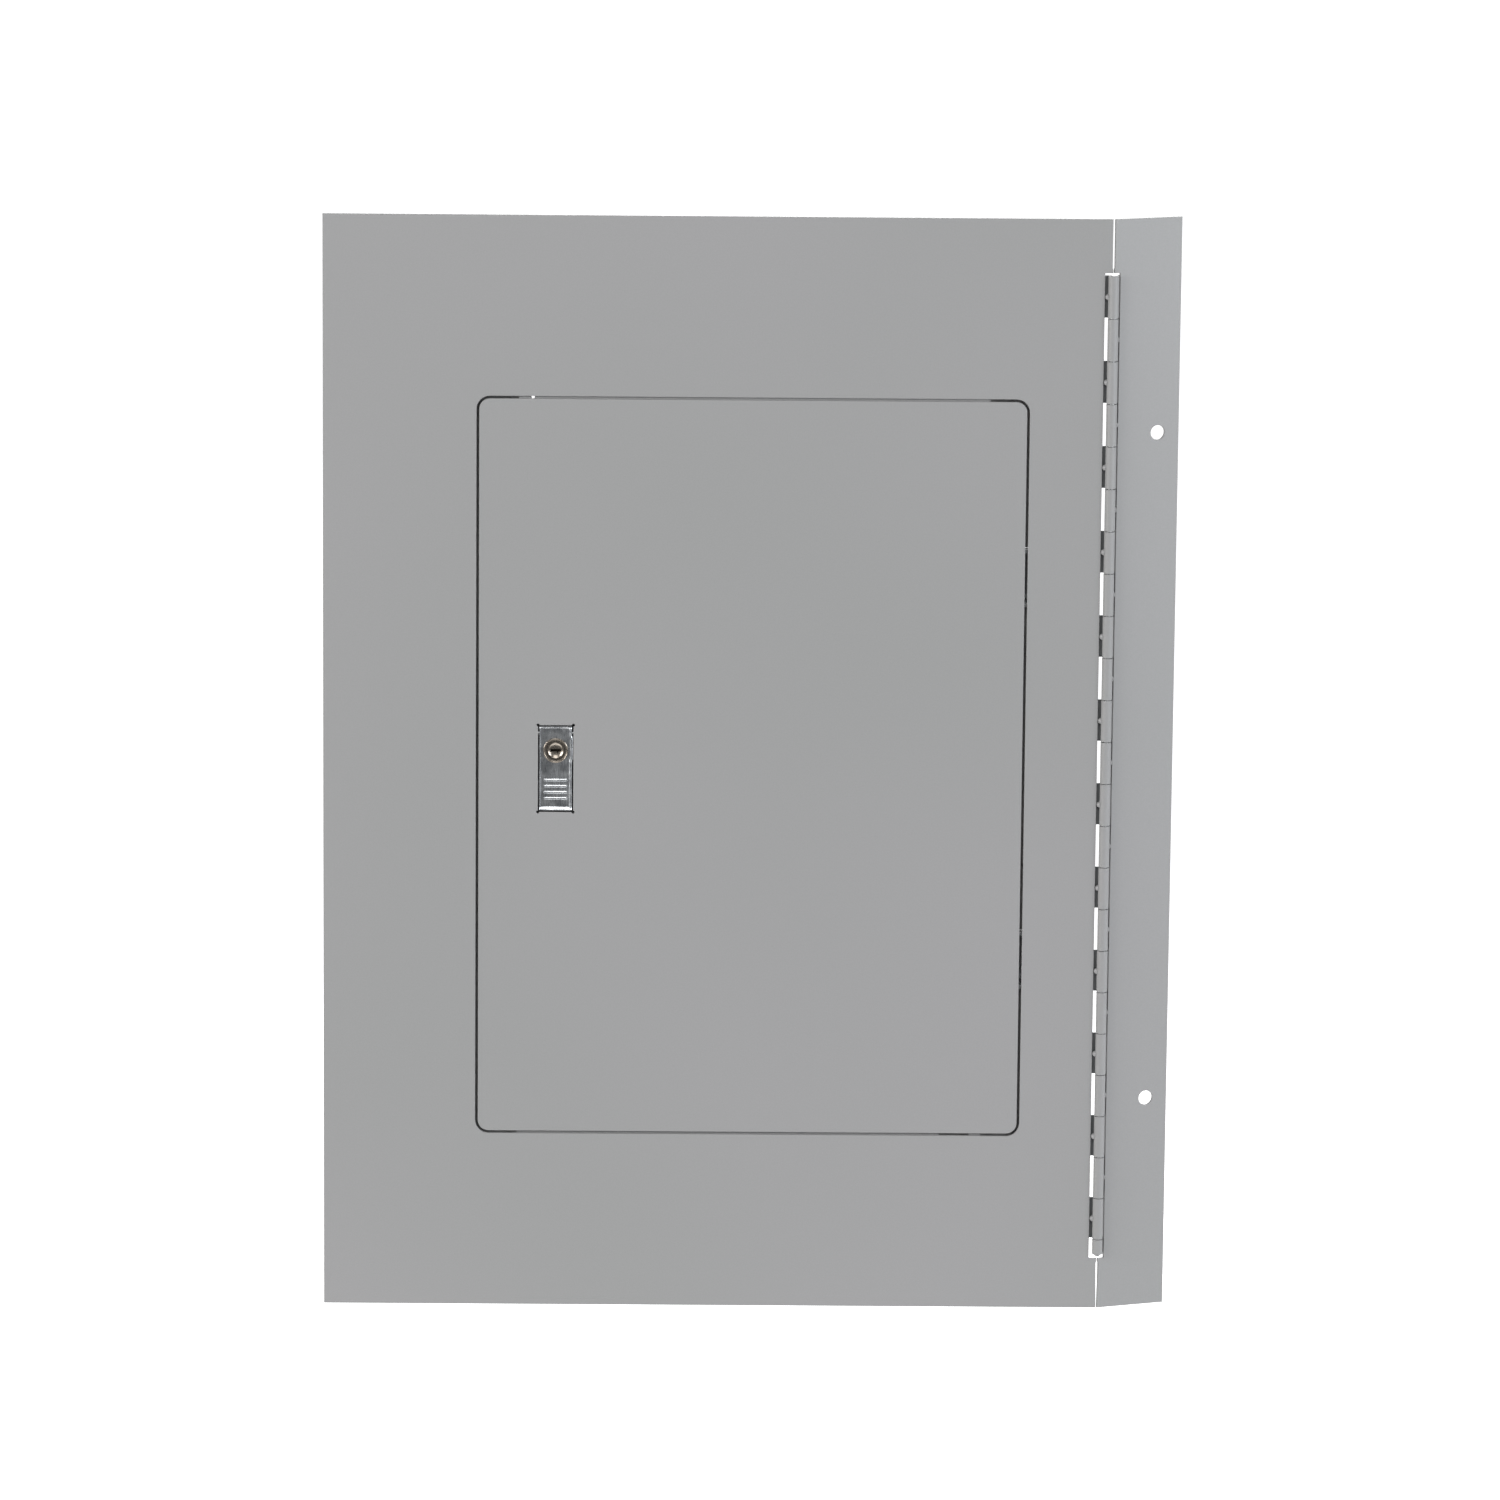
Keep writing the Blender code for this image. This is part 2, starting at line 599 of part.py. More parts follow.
def side_strips():
    left = side_strip("stop_strip_left", LEFT_STRIP_EDGE, OPENING_LEFT - SIDE_STRIP_OUTSIDE, -1)
    past = (STRIP_FACE - CUT_PAST, STRIP_FACE + STRIP_THICKNESS + CUT_PAST)
    for index, z in enumerate(screw_heights()):
        radius = TRIM_SCREW_RADIUS + LOOSE_GAP
        cut(left, cylinders(f"trim_screw_hole_{index}", "Y", radius, (TRIM_SCREW_X, z), [past]))
    as_piece(left, trim_frame, "painted_steel")
    right = side_strip("stop_strip_right", RIGHT_STRIP_EDGE, OPENING_RIGHT + SIDE_STRIP_OUTSIDE, 1)
    tab = (STRIP_SLOT_LEFT - TIE_TAB_LAP, RIGHT_STRIP_EDGE + TIE_TAB_LAP)
    tab_depth = (STRIP_FACE, STRIP_FACE + STRIP_THICKNESS)
    join(right, block("tie_tab", tab, tab_depth, (STRIP_ENDS[0], STRIP_ENDS[0] + STRIP_WIDTH)))
    swing = math.hypot(ARM_TURN + ARM_THICKNESS, ARM_TURN + ARM_THICKNESS) + LOOSE_GAP
    room = BRACKET_HALF + 2 * LOOSE_GAP
    for index, z in enumerate(hinge_heights()):
        across = (DOOR_PIN_X - swing, OPENING_RIGHT + SIDE_STRIP_OUTSIDE + SIDE_STRIP_LIP + CUT_PAST)
        depth = (0, STRIP_FACE + STRIP_THICKNESS + CUT_PAST)
        cut(right, block(f"hinge_notch_{index}", across, depth, (z - room, z + room)))
    as_piece(right, trim_frame, "painted_steel")


def hinge_heights():
    return DOOR_Z + DOOR_HINGE_SPACING / 2, DOOR_Z - DOOR_HINGE_SPACING / 2


def screw_heights():
    return DOOR_Z + TRIM_SCREW_SPACING / 2, DOOR_Z - TRIM_SCREW_SPACING / 2


def trim_screws():
    """The captive screws that hold the trim shut, reached through the open door."""
    head_back = STRIP_FACE - CONTACT_GAP
    for side, z in zip(("upper", "lower"), screw_heights()):
        profile = [
            (0, 0),
            (TRIM_SCREW_HEAD_RADIUS * 0.8, 0),
            (TRIM_SCREW_HEAD_RADIUS, TRIM_SCREW_HEAD / 2),
            (TRIM_SCREW_HEAD_RADIUS, TRIM_SCREW_HEAD),
            (TRIM_SCREW_RADIUS, TRIM_SCREW_HEAD),
            (TRIM_SCREW_RADIUS, TRIM_SCREW_LENGTH - TRIM_SCREW_RADIUS),
            (TRIM_SCREW_RADIUS / 2, TRIM_SCREW_LENGTH),
            (0, TRIM_SCREW_LENGTH),
        ]
        place = (TRIM_SCREW_X, head_back - TRIM_SCREW_HEAD, z)
        screw = turned(f"trim_screw_{side}", place, profile, 16)
        past = TRIM_SCREW_HEAD_RADIUS + CUT_PAST
        slot = block(
            f"screw_slot_{side}",
            (TRIM_SCREW_X - past, TRIM_SCREW_X + past),
            (place[1] - CUT_PAST, place[1] + TRIM_SCREW_HEAD / 2),
            (z - LOOSE_GAP, z + LOOSE_GAP),
        )
        as_piece(cut(screw, slot), trim_frame, "plated_steel")
        start = STRIP_FACE + STRIP_THICKNESS + CONTACT_GAP
        washer = extruded(
            f"screw_retainer_{side}",
            "Y",
            start,
            start + RETAINER_THICKNESS,
            circle((TRIM_SCREW_X, z), RETAINER_RADIUS, 16),
            circle((TRIM_SCREW_X, z), TRIM_SCREW_RADIUS + CONTACT_GAP, 16),
        )
        as_piece(washer, trim_frame, "fibre")


def door_bumpers():
    """Rubber pads on the left stop strip, which the closed door rests on."""
    height = STRIP_DEPTH - 2 * CONTACT_GAP
    x = LEFT_STRIP_EDGE - BUMPER_RADIUS - CUT_PAST
    for side, sign in (("upper", 1), ("lower", -1)):
        z = DOOR_Z + sign * BUMPER_SPACING / 2
        profile = [(0, 0), (BUMPER_RADIUS * 0.6, 0), (BUMPER_RADIUS * 0.85, height / 4)]
        profile += [(BUMPER_RADIUS, height / 2), (BUMPER_RADIUS, height), (0, height)]
        pad = turned(f"door_bumper_{side}", (x, SHEET_THICKNESS + CONTACT_GAP, z), profile, 16)
        as_piece(pad, trim_frame, "rubber")


def ground_stud():
    """The welded stud and nut that the trim's earth wire goes on."""
    x = -SHEET_WIDTH / 2 + GROUND_STUD_FROM_CORNER
    z = -SHEET_HEIGHT / 2 + GROUND_STUD_FROM_CORNER
    profile = [(0, 0), (GROUND_STUD_RADIUS * 1.4, 0), (GROUND_STUD_RADIUS * 1.4, STRIP_THICKNESS)]
    profile += [(GROUND_STUD_RADIUS, STRIP_THICKNESS), (GROUND_STUD_RADIUS, GROUND_STUD_LENGTH)]
    profile += [(0, GROUND_STUD_LENGTH)]
    stud = turned("ground_stud", (x, BEHIND_SHEET, z), profile, 16)
    as_piece(stud, trim_frame, "plated_steel")
    start = BEHIND_SHEET + STRIP_THICKNESS + CONTACT_GAP
    nut = extruded(
        "ground_nut",
        "Y",
        start,
        start + GROUND_NUT_HEIGHT,
        circle((x, z), GROUND_NUT_RADIUS, 6),
        circle((x, z), GROUND_STUD_RADIUS + CONTACT_GAP, 16),
    )
    as_piece(nut, trim_frame, "plated_steel")


# The door's hinges


def hinge_bracket(side, z):
    """A pocket on the trim's back, open towards the door, whose two ears hold the door's pin."""
    low, high = z - BRACKET_HALF, z + BRACKET_HALF
    wall_front = DOOR_PIN_X + 2.5 * DOOR_PIN_RADIUS
    foot = DOOR_PIN_X + BRACKET_REACH
    wall = BRACKET_THICKNESS
    profile = [(foot, BEHIND_SHEET), (foot, BEHIND_SHEET + wall)]
    profile += [(wall_front + wall, BEHIND_SHEET + wall), (wall_front + wall, BRACKET_BACK + wall)]
    profile += [(BRACKET_LEFT, BRACKET_BACK + wall), (BRACKET_LEFT, BRACKET_BACK)]
    profile += [(wall_front, BRACKET_BACK), (wall_front, BEHIND_SHEET)]
    bracket = extruded(f"door_hinge_bracket_{side}", "Z", low, high, profile)
    half = wall / 2
    ear = rectangle(BRACKET_LEFT + half, wall_front + half, BEHIND_SHEET + half, BRACKET_BACK + half)
    bore = circle((DOOR_PIN_X, DOOR_PIN_DEPTH), DOOR_PIN_RADIUS + RUNNING_GAP)
    for index, start in enumerate((low, high - wall)):
        join(bracket, extruded(f"bracket_ear_{side}_{index}", "Z", start, start + wall, ear, bore))
    as_piece(bracket, trim_frame, "plated_steel")
    pin = cylinders(
        f"door_hinge_pin_{side}",
        "Z",
        DOOR_PIN_RADIUS,
        (DOOR_PIN_X, DOOR_PIN_DEPTH),
        [(low - LOOSE_GAP, high + LOOSE_GAP)],
    )
    as_piece(pin, trim_frame, "plated_steel")


def hinge_arm(side, z):
    """The goose-neck from the door's back, round behind the trim's edge, to the pin."""
    x, y, t = DOOR_PIN_X, DOOR_PIN_DEPTH, ARM_THICKNESS
    foot = BEHIND_SHEET
    leg = x - ARM_TURN - t
    profile = [
        (leg - ARM_FOOT, foot),
        (leg, foot),
        (leg + t, foot + t / 2),
        (leg + t, y + ARM_TURN - t),
        (x + t / 4, y + ARM_TURN - t),
        (x + t / 4, y),
        (x + 5 * t / 4, y),
        (x + 5 * t / 4, y + ARM_TURN - t / 2),
        (x + t / 2, y + ARM_TURN),
        (leg + t / 2, y + ARM_TURN),
        (leg, y + ARM_TURN - t / 2),
        (leg, foot + t),
        (leg - ARM_FOOT, foot + t),
    ]
    ends = (z - ARM_HEIGHT / 2, z + ARM_HEIGHT / 2)
    arm = extruded(f"door_hinge_arm_{side}", "Z", *ends, profile)
    eye = DOOR_PIN_DEPTH - BEHIND_SHEET - CONTACT_GAP
    join(arm, cylinders(f"arm_eye_{side}", "Z", eye, (x, y), [ends]))
    bore = DOOR_PIN_RADIUS + RUNNING_GAP
    past = [(ends[0] - CUT_PAST, ends[1] + CUT_PAST)]
    cut(arm, cylinders(f"arm_bore_{side}", "Z", bore, (x, y), past))
    as_piece(arm, door_frame, "plated_steel")


def door_hinges():
    for side, z in zip(("upper", "lower"), hinge_heights()):
        hinge_bracket(side, z)
        hinge_arm(side, z)


# The door


def door_sheet():
    left, right = DOOR_X - DOOR_WIDTH / 2, DOOR_X + DOOR_WIDTH / 2
    low, high = DOOR_Z - DOOR_HEIGHT / 2, DOOR_Z + DOOR_HEIGHT / 2
    outline = rounded(left, right, low, high, DOOR_CORNER_RADIUS)
    lock_left, lock_right = LOCK_X - LOCK_WIDTH / 2, LOCK_X + LOCK_WIDTH / 2
    lock_low, lock_high = LOCK_Z - LOCK_HEIGHT / 2, LOCK_Z + LOCK_HEIGHT / 2
    cutout = relieved(lock_left, lock_right, lock_low, lock_high, RELIEF_RADIUS)
    sheet = extruded("door_sheet", "Y", 0, SHEET_THICKNESS, outline, cutout)
    for index, z in enumerate(stud_heights()):
        ends = [(SHEET_THICKNESS / 2, SHEET_THICKNESS + STUD_LENGTH)]
        join(sheet, cylinders(f"lock_stud_{index}", "Y", STUD_RADIUS, (LOCK_X, z), ends, 16))
    as_piece(sheet, door_frame, "painted_steel")


def stud_heights():
    return HOUSING_TOP + HOUSING_FLANGE / 2, HOUSING_BOTTOM - HOUSING_FLANGE / 2


def door_stiffeners():
    """Hat channels across the door's back, near its top and bottom."""
    half, wall, lip = STIFFENER_WIDTH / 2, STRIP_THICKNESS, STIFFENER_WIDTH / 4
    front, back = BEHIND_SHEET, BEHIND_SHEET + STIFFENER_DEPTH
    for side, sign in (("top", 1), ("bottom", -1)):
        z = DOOR_Z + sign * (DOOR_HEIGHT / 2 - STIFFENER_FROM_EDGE)
        profile = [(front, -half), (front + wall, -half), (front + wall, -half + lip - wall)]
        profile += [(back, -half + lip - wall), (back, half - lip + wall)]
        profile += [(front + wall, half - lip + wall), (front + wall, half), (front, half)]
        profile += [(front, half - lip), (back - wall, half - lip)]
        profile += [(back - wall, lip - half), (front, lip - half)]
        outline = [(y, z + v) for y, v in profile]
        reach = DOOR_WIDTH / 2 - STIFFENER_FROM_DOOR_SIDE
        ends = (DOOR_X - reach, DOOR_X + reach)
        channel = extruded(f"door_stiffener_{side}", "X", *ends, outline)
        as_piece(channel, door_frame, "painted_steel")


def card_holder():
    """A frame on the door's back, open at the top, with a card behind a clear window."""
    inner = (CARD_X - CARD_WIDTH / 2 - LOOSE_GAP, CARD_X + CARD_WIDTH / 2 + LOOSE_GAP)
    low, high = CARD_Z - CARD_HEIGHT / 2 - LOOSE_GAP, CARD_Z + CARD_HEIGHT / 2
    card_front = BEHIND_SHEET + HOLDER_WALL + CONTACT_GAP
    window_front = card_front + CARD_THICKNESS + CONTACT_GAP
    lip_front = window_front + 2 * CARD_THICKNESS + CONTACT_GAP
    outer = (inner[0] - HOLDER_WALL, inner[1] + HOLDER_WALL)
    outer_low = low - HOLDER_WALL
    frame = block("card_holder_frame", outer, (BEHIND_SHEET, lip_front + HOLDER_WALL), (outer_low, high))
    pocket = (BEHIND_SHEET + HOLDER_WALL, lip_front)
    cut(frame, block("card_pocket", inner, pocket, (low, high + CUT_PAST)))
    sight = (inner[0] + HOLDER_LIP, inner[1] - HOLDER_LIP)
    past = (lip_front - CONTACT_GAP, lip_front + HOLDER_WALL + CUT_PAST)
    cut(frame, block("card_sight", sight, past, (low + HOLDER_LIP, high + CUT_PAST)))
    as_piece(frame, door_frame, "plated_steel")
    across = (CARD_X - CARD_WIDTH / 2, CARD_X + CARD_WIDTH / 2)
    heights = (CARD_Z - CARD_HEIGHT / 2, CARD_Z + CARD_HEIGHT / 2)
    card = block("directory_card", across, (card_front, card_front + CARD_THICKNESS), heights)
    as_piece(card, door_frame, "paper")
    window = block("card_window", across, (window_front, window_front + 2 * CARD_THICKNESS), heights)
    as_piece(window, door_frame, "clear_plastic")


# The lock


def lock_housing():
    """A box behind the door's cut-out, open at the front, with a flange above and below."""
    left, right = LOCK_X - HOUSING_HALF, LOCK_X + HOUSING_HALF
    low, high = HOUSING_BOTTOM, HOUSING_TOP
    flange = (low - HOUSING_FLANGE, high + HOUSING_FLANGE)
    housing = block(
        "lock_housing", (left, right), (BEHIND_SHEET, BEHIND_SHEET + HOUSING_WALL), flange
    )
    depth = (BEHIND_SHEET + HOUSING_WALL / 2, HOUSING_BACK)
    join(housing, block("housing_box", (left, right), depth, (low, high)))
    inside = (left + HOUSING_WALL, right - HOUSING_WALL)
    heights = (low + HOUSING_WALL, high - HOUSING_WALL)
    room = (BEHIND_SHEET - CUT_PAST, HOUSING_BACK - HOUSING_WALL)
    cut(housing, block("housing_room", inside, room, heights))
    slot_depth = (CATCH_FRONT - LOOSE_GAP, CATCH_FRONT + CATCH_THICKNESS + LOOSE_GAP)
    slot_heights = (CATCH_LOW - LOOSE_GAP, CATCH_LOW + CATCH_HEIGHT + LOOSE_GAP)
    slot_across = (left - CUT_PAST, left + HOUSING_WALL + CUT_PAST)
    cut(housing, block("catch_slot", slot_across, slot_depth, slot_heights))
    for index, z in enumerate(stud_heights()):
        ends = [(BEHIND_SHEET - CUT_PAST, BEHIND_SHEET + HOUSING_WALL + CUT_PAST)]
        radius = STUD_RADIUS + LOOSE_GAP
        cut(housing, cylinders(f"stud_hole_{index}", "Y", radius, (LOCK_X, z), ends, 16))
    pin_ends = [(left - CUT_PAST, right + CUT_PAST)]
    pin_radius = PULL_PIN_RADIUS + RUNNING_GAP
    centre = (PULL_PIN_DEPTH, PULL_PIN_Z)
    cut(housing, cylinders("pull_pin_hole", "X", pin_radius, centre, pin_ends, 16))
    as_piece(housing, door_frame, "plated_steel")
    for side, z in zip(("upper", "lower"), stud_heights()):
        start = BEHIND_SHEET + HOUSING_WALL + CONTACT_GAP
        nut = extruded(
            f"lock_nut_{side}",
            "Y",
            start,
            start + NUT_HEIGHT,
            circle((LOCK_X, z), NUT_RADIUS, 6),
            circle((LOCK_X, z), STUD_RADIUS + CONTACT_GAP, 16),
        )
        as_piece(nut, door_frame, "plated_steel")
    ends = [(left - LOOSE_GAP, right + LOOSE_GAP)]
    pin = cylinders("pull_pivot_pin", "X", PULL_PIN_RADIUS, centre, ends, 16)
    as_piece(pin, door_frame, "plated_steel")


def door_pull():
    """The sprung plate in the door's cut-out, hinged near its top and pulled at its lower lip."""
    left, right = LOCK_X - PULL_WIDTH / 2, LOCK_X + PULL_WIDTH / 2
    front, back = PULL_RECESS, PULL_BACK
    lip = PULL_BOTTOM + PULL_LIP
    proud = front - PULL_LIP_PROUD
    profile = [(front, PULL_TOP), (front, lip + 2 * PULL_LIP), (proud, lip)]
    profile += [(proud, PULL_BOTTOM), (back, PULL_BOTTOM), (back, PULL_TOP)]
    pull = extruded("door_pull", "X", left, right, profile)
    ear_back = front + PULL_EAR_DEPTH
    top = PULL_TOP - PULL_EAR_INSET
    ears = (left + PULL_EAR_INSET, right - PULL_EAR_INSET - PULL_EAR)
    for index, x in enumerate(ears):
        low = PULL_PIN_Z - PULL_EAR_BELOW_PIN
        outline = [(back - PULL_THICKNESS / 2, top), (ear_back - PULL_EAR_CHAMFER, top)]
        outline += [(ear_back, top - PULL_EAR_CHAMFER), (ear_back, low)]
        outline += [(back - PULL_THICKNESS / 2, low - PULL_EAR_CHAMFER)]
        join(pull, extruded(f"pull_ear_{index}", "X", x, x + PULL_EAR, outline))
    tongue_heights = (CATCH_LOW + CATCH_HEIGHT / 3, CATCH_LOW + 2 * CATCH_HEIGHT / 3)
    tongue_depth = (back - PULL_THICKNESS / 2, CATCH_FRONT - LOOSE_GAP)
    tongue = (LOCK_X - PULL_THICKNESS, LOCK_X)
    join(pull, block("pull_tongue", tongue, tongue_depth, tongue_heights))
    pin_ends = [(left - CUT_PAST, right + CUT_PAST)]
    pin_radius = PULL_PIN_RADIUS + RUNNING_GAP
    centre = (PULL_PIN_DEPTH, PULL_PIN_Z)
    cut(pull, cylinders("pull_bore", "X", pin_radius, centre, pin_ends, 16))
    hole = BARREL_BODY_RADIUS + CONTACT_GAP
    through = [(front - CUT_PAST, back + CUT_PAST)]
    cut(pull, cylinders("cylinder_hole", "Y", hole, (LOCK_X, CYLINDER_Z), through))
    as_piece(pull, pull_frame, "stainless")


def pull_spring():
    """A torsion spring round the pivot, with one leg on the housing and one on the pull."""
    radius = PULL_PIN_RADIUS + CONTACT_GAP + SPRING_WIRE
    half = PULL_WIDTH / 2 - PULL_EAR_INSET - PULL_EAR - 4 * SPRING_WIRE
    centre = (PULL_PIN_DEPTH, PULL_PIN_Z)
    points = list(helix(LOCK_X - half, LOCK_X + half, centre, radius, 6, 8))
    as_piece(coil("pull_spring", points, SPRING_WIRE), pull_frame, "spring_steel")


def key_cylinder():
    """The barrel in the pull, its nut, the plug that the key turns, and the plug's cam."""
    head_back = PULL_RECESS - CONTACT_GAP
    bore = PLUG_RADIUS + RUNNING_GAP
    length = BARREL_LENGTH - head_back
    profile = [
        (bore, -BARREL_HEAD),
        (BARREL_HEAD_RADIUS - BARREL_HEAD / 2, -BARREL_HEAD),
        (BARREL_HEAD_RADIUS, -BARREL_HEAD / 2),
        (BARREL_HEAD_RADIUS, 0),
        (BARREL_BODY_RADIUS, 0),
        (BARREL_BODY_RADIUS, length),
        (bore, length),
        (bore, -BARREL_HEAD),
    ]
    barrel = turned("lock_barrel", (LOCK_X, head_back, CYLINDER_Z), profile)
    as_piece(barrel, pull_frame, "nickel")
    start = PULL_BACK + CONTACT_GAP
    nut = extruded(
        "lock_retaining_nut",
        "Y",
        start,
        start + LOCK_NUT_HEIGHT,
        circle((LOCK_X, CYLINDER_Z), LOCK_NUT_RADIUS, 6),
        circle((LOCK_X, CYLINDER_Z), BARREL_BODY_RADIUS + CONTACT_GAP),
    )
    as_piece(nut, pull_frame, "plated_steel")
    front = head_back - BARREL_HEAD / 2
    end = CAM_FRONT - CONTACT_GAP - front
    profile = [
        (0, PLUG_DISH),
        (PLUG_RADIUS * 0.5, PLUG_DISH * 0.75),
        (PLUG_RADIUS * 0.85, 0),
        (PLUG_RADIUS, 0),
        (PLUG_RADIUS, end),
        (0, end),
    ]
    plug = turned("lock_plug", (LOCK_X, front, CYLINDER_Z), profile)
    keyway_heights = (CYLINDER_Z - KEYWAY_HEIGHT / 2, CYLINDER_Z + KEYWAY_HEIGHT / 2)
    keyway_across = (LOCK_X - KEYWAY_WIDTH / 2, LOCK_X + KEYWAY_WIDTH / 2)
    cut(plug, block("keyway", keyway_across, (front - CUT_PAST, front + KEYWAY_DEPTH), keyway_heights))
    tail = PLUG_TAIL / 2
    tail_ends = (CAM_FRONT - 2 * CONTACT_GAP - STRIP_THICKNESS / 2, CAM_FRONT + CAM_THICKNESS)
    tail_square = rectangle(LOCK_X - tail, LOCK_X + tail, CYLINDER_Z - tail, CYLINDER_Z + tail)
    join(plug, extruded("plug_tail", "Y", *tail_ends, tail_square))
    thread = CAM_SCREW_RADIUS + CONTACT_GAP
    thread_ends = [(CAM_FRONT - 2 * CUT_PAST + LOOSE_GAP, CAM_FRONT + CAM_THICKNESS + CUT_PAST)]
    cut(plug, cylinders("cam_screw_hole", "Y", thread, (LOCK_X, CYLINDER_Z), thread_ends, 12))
    as_piece(plug, plug_frame, "nickel")
    hole = tail + CONTACT_GAP
    half = CAM_WIDTH / 2
    outline = arc((LOCK_X, CYLINDER_Z), half, 0, 2)
    outline += arc((LOCK_X, CYLINDER_Z - CAM_LENGTH + half / 2), half / 2, 2, 4)
    square = rectangle(LOCK_X - hole, LOCK_X + hole, CYLINDER_Z - hole, CYLINDER_Z + hole)
    cam = extruded("lock_cam", "Y", CAM_FRONT, CAM_FRONT + CAM_THICKNESS, outline, square)
    as_piece(cam, plug_frame, "plated_steel")
    head = 3 * CAM_SCREW_RADIUS
    start = CAM_FRONT + CAM_THICKNESS + CONTACT_GAP
    profile = [(0, -2 * CUT_PAST), (CAM_SCREW_RADIUS, -2 * CUT_PAST), (CAM_SCREW_RADIUS, 0)]
    profile += [(head, 0), (head, CAM_SCREW_RADIUS), (0, CAM_SCREW_RADIUS)]
    screw = turned("cam_screw", (LOCK_X, start, CYLINDER_Z), profile, 16)
    as_piece(screw, plug_frame, "plated_steel")


def catch():
    """The bolt that holds the door behind the left stop strip, and its spring."""
    front, back = CATCH_FRONT, CATCH_FRONT + CATCH_THICKNESS
    slope = 0.6 * CATCH_THICKNESS
    outline = [(CATCH_NOSE, front), (CATCH_TAIL, front), (CATCH_TAIL, back)]
    outline += [(CATCH_NOSE + CATCH_OVERLAP, back), (CATCH_NOSE, back - slope)]
    bolt = extruded("catch_bolt", "Z", CATCH_LOW, CATCH_LOW + CATCH_HEIGHT, outline)
    as_piece(bolt, catch_frame, "plated_steel")
    radius = CATCH_THICKNESS / 2
    centre = ((front + back) / 2, CATCH_LOW + CATCH_HEIGHT / 2)
    start = CATCH_TAIL + CONTACT_GAP + SPRING_WIRE
    end = CATCH_TAIL + CATCH_SPRING_LENGTH - SPRING_WIRE
    points = list(helix(start, end, centre, radius, 6, 8))
    as_piece(coil("catch_spring", points, SPRING_WIRE), catch_frame, "spring_steel")


clear_scene()
parts = new_collection("fire_alarm_panel_front")
cutters = new_collection("cutters")
flange_frame = new_frame("flange_frame", (HINGE_AXIS_X, AXIS_DEPTH, 0))
trim_frame = new_frame("trim_frame", (HINGE_AXIS_X, AXIS_DEPTH, 0))
door_frame = new_frame("door_frame", (DOOR_PIN_X, DOOR_PIN_DEPTH, DOOR_Z), trim_frame)
pull_frame = new_frame("pull_frame", (LOCK_X, PULL_PIN_DEPTH, PULL_PIN_Z), door_frame)
plug_frame = new_frame("plug_frame", (LOCK_X, 0, CYLINDER_Z), pull_frame)
catch_frame = new_frame("catch_frame", (LOCK_X, CATCH_FRONT, CATCH_LOW), door_frame)

mounting_flange()
piano_hinge()
trim_sheet()
level_strips()
side_strips()
trim_screws()
door_bumpers()
ground_stud()
door_hinges()
door_sheet()
door_stiffeners()
card_holder()
lock_housing()
door_pull()
pull_spring()
key_cylinder()
catch()
flange_frame.rotation_euler.z = REST_ANGLE
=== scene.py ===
"""The looks of a fire alarm panel's hinged flush front.

The front is powder-coated sheet steel: a trim sheet with a flush door in it, a piano hinge, and a
narrow mounting flange. A sprung stainless pull with a key cylinder closes the door. Each sub-assembly
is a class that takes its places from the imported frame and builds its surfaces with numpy. Lengths are
in metres, +Z is up, and the front faces -Y.
"""

from __future__ import annotations

import json
import logging
import math
from abc import ABC, abstractmethod
from collections.abc import Sequence
from dataclasses import dataclass
from enum import Enum

import bmesh
import bpy
import numpy as np
from mathutils import Matrix, Vector
from mathutils.geometry import tessellate_polygon

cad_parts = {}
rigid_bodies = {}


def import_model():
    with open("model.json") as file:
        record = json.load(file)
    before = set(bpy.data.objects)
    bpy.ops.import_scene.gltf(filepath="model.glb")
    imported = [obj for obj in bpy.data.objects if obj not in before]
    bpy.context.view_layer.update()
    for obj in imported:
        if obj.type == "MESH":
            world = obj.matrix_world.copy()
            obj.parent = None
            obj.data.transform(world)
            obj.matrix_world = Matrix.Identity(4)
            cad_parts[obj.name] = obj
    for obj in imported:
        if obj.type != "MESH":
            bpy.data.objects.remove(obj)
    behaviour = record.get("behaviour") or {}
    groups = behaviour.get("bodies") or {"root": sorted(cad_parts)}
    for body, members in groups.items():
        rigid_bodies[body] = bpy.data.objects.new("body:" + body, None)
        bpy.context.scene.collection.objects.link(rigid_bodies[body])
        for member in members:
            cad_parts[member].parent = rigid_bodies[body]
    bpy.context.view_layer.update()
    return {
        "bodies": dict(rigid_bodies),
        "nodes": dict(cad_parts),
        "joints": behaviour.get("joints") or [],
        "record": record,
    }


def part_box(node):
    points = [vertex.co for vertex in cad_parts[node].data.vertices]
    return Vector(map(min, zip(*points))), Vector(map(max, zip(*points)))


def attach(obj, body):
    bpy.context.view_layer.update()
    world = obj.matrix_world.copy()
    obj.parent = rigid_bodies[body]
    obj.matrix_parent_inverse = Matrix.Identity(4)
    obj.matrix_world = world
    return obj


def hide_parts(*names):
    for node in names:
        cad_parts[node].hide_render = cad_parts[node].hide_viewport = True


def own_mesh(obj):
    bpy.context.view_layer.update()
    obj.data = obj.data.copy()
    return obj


LOG = logging.getLogger("panel_front")
MM = 0.001
FRAME: dict = {}
# Points nearer than this are merged, on a new surface and on a solid's loose triangles.
SAME_POINT = 2e-7
SAME_CORNER = 1e-6
# Steeper edges than these are shaded sharp, rounded on folded parts, and kept when flats are joined.
SHARP = math.radians(42)
FOLDED = math.radians(35)
FLAT = math.radians(0.5)
# Two coordinates, or the two ends of a range.
Pair = tuple[float, float]
# The middle range of a noise, which a finish spreads over its own range.
NOISE_SPAN = (0.3, 0.7)


class Axis(Enum):
    """The axis that a flat outline is pushed along, or that a profile is turned about."""

    X = 0
    Y = 1
    Z = 2


# Surfaces


